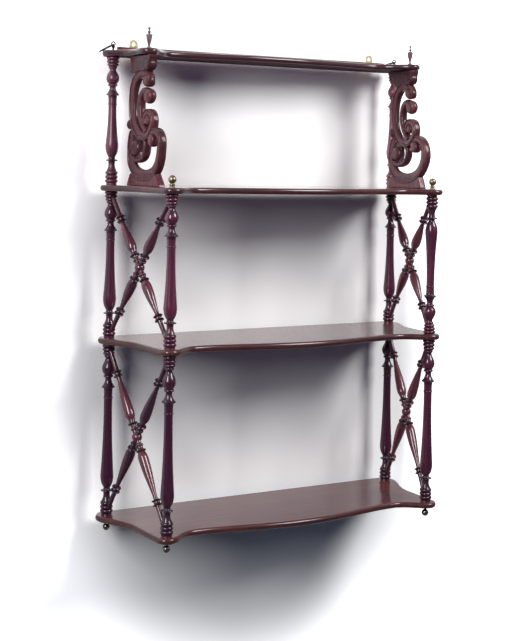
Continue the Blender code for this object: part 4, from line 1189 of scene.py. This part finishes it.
def addStage(name, corners, material):
    mesh = bpy.data.meshes.new(name)
    mesh.from_pydata(corners, [], [(0, 1, 2, 3)])
    mesh.materials.append(material)
    obj = bpy.data.objects.new(name, mesh)
    scene.collection.objects.link(obj)


w, low, top, gap = [stage[key] for key in ("halfWidth", "floorDrop", "top", "wallGap")]
near = -stage["depth"]
addStage("wall", [(-w, gap, low), (w, gap, low), (w, gap, top), (-w, gap, top)],
         mattPaint("whiteWallPaint", stage["wall"], stage["wallSeen"]))
addStage("floor", [(-w, near, low), (w, near, low), (w, gap, low), (-w, gap, low)],
         mattPaint("paleFloorPaint", stage["floor"], stage["floorSeen"]))

# Light: two soft lamps, high on the right and lower on the left, a weak one that shines through
# the wall on the back of the shelf, and a little cool fill from the room
lamps = {
    "rightLamp": {"place": (1.18, -1.84, 1.00), "aim": (0.0, -0.10, -0.45), "wide": 1.0,
                  "high": 1.1, "power": 52.0},
    "leftLamp": {"place": (-2.80, -1.88, 0.86), "aim": (0.0, -0.10, -0.2), "wide": 0.85,
                 "high": 1.9, "power": 82.0},
    "backLamp": {"place": (0.0, 2.30, 0.35), "aim": (0.0, 0.0, -0.4), "wide": 1.8,
                 "high": 1.2, "power": 24.0},
}
room = {"fill": "#5a98ee", "fillStrength": 0.07, "seen": "#f4f4f4", "mirrored": 0.03}
for name, lamp in lamps.items():
    lampData = bpy.data.lights.new(name, "AREA")
    lampData.shape = "RECTANGLE"
    lampData.size = lamp["wide"]
    lampData.size_y = lamp["high"]
    lampData.energy = lamp["power"]
    lampObject = bpy.data.objects.new(name, lampData)
    scene.collection.objects.link(lampObject)
    lampObject.location = lamp["place"]
    lampAim = Vector(lamp["aim"]) - Vector(lamp["place"])
    lampObject.rotation_euler = lampAim.to_track_quat("-Z", "Y").to_euler()

world = bpy.data.worlds.new("room")
scene.world = world
world.use_nodes = True
sky = world.node_tree
skyRays = addNode(sky, "ShaderNodeLightPath").outputs
skyBounced = bouncedShare(sky, skyRays)
skyStrength = calc(sky, "MULTIPLY_ADD", skyBounced, room["mirrored"], room["fillStrength"])
skyPlain = calc(sky, "MAXIMUM", skyBounced, skyRays["Is Camera Ray"])
feed(sky, sky.nodes["Background"], {
    "Strength": blend(sky, skyRays["Is Camera Ray"], skyStrength, 1.0, "FLOAT"),
    "Color": blend(sky, skyPlain, toLinear(room["fill"]), toLinear(room["seen"]))})
print("stage and light made")

# Camera: on the viewer's left, a little above the second shelf
view = {"place": (-1.3379, -2.2933, -0.1864), "turn": 30.389, "down": 1.971, "roll": 1.071,
        "lens": 77.148, "sensor": 36.0, "shiftX": -0.0018, "shiftY": -0.1770}
cameraData = bpy.data.cameras.new("camera")
cameraData.lens = view["lens"]
cameraData.sensor_width = view["sensor"]
cameraData.shift_x = view["shiftX"]
cameraData.shift_y = view["shiftY"]
camera = bpy.data.objects.new("camera", cameraData)
scene.collection.objects.link(camera)
turnAndDown = Euler((math.radians(90 - view["down"]), 0.0, -math.radians(view["turn"])))
camera.matrix_world = (Matrix.Translation(view["place"]) @ turnAndDown.to_matrix().to_4x4()
                       @ Matrix.Rotation(math.radians(view["roll"]), 4, "Z"))
scene.camera = camera
scene.view_settings.view_transform = "Standard"
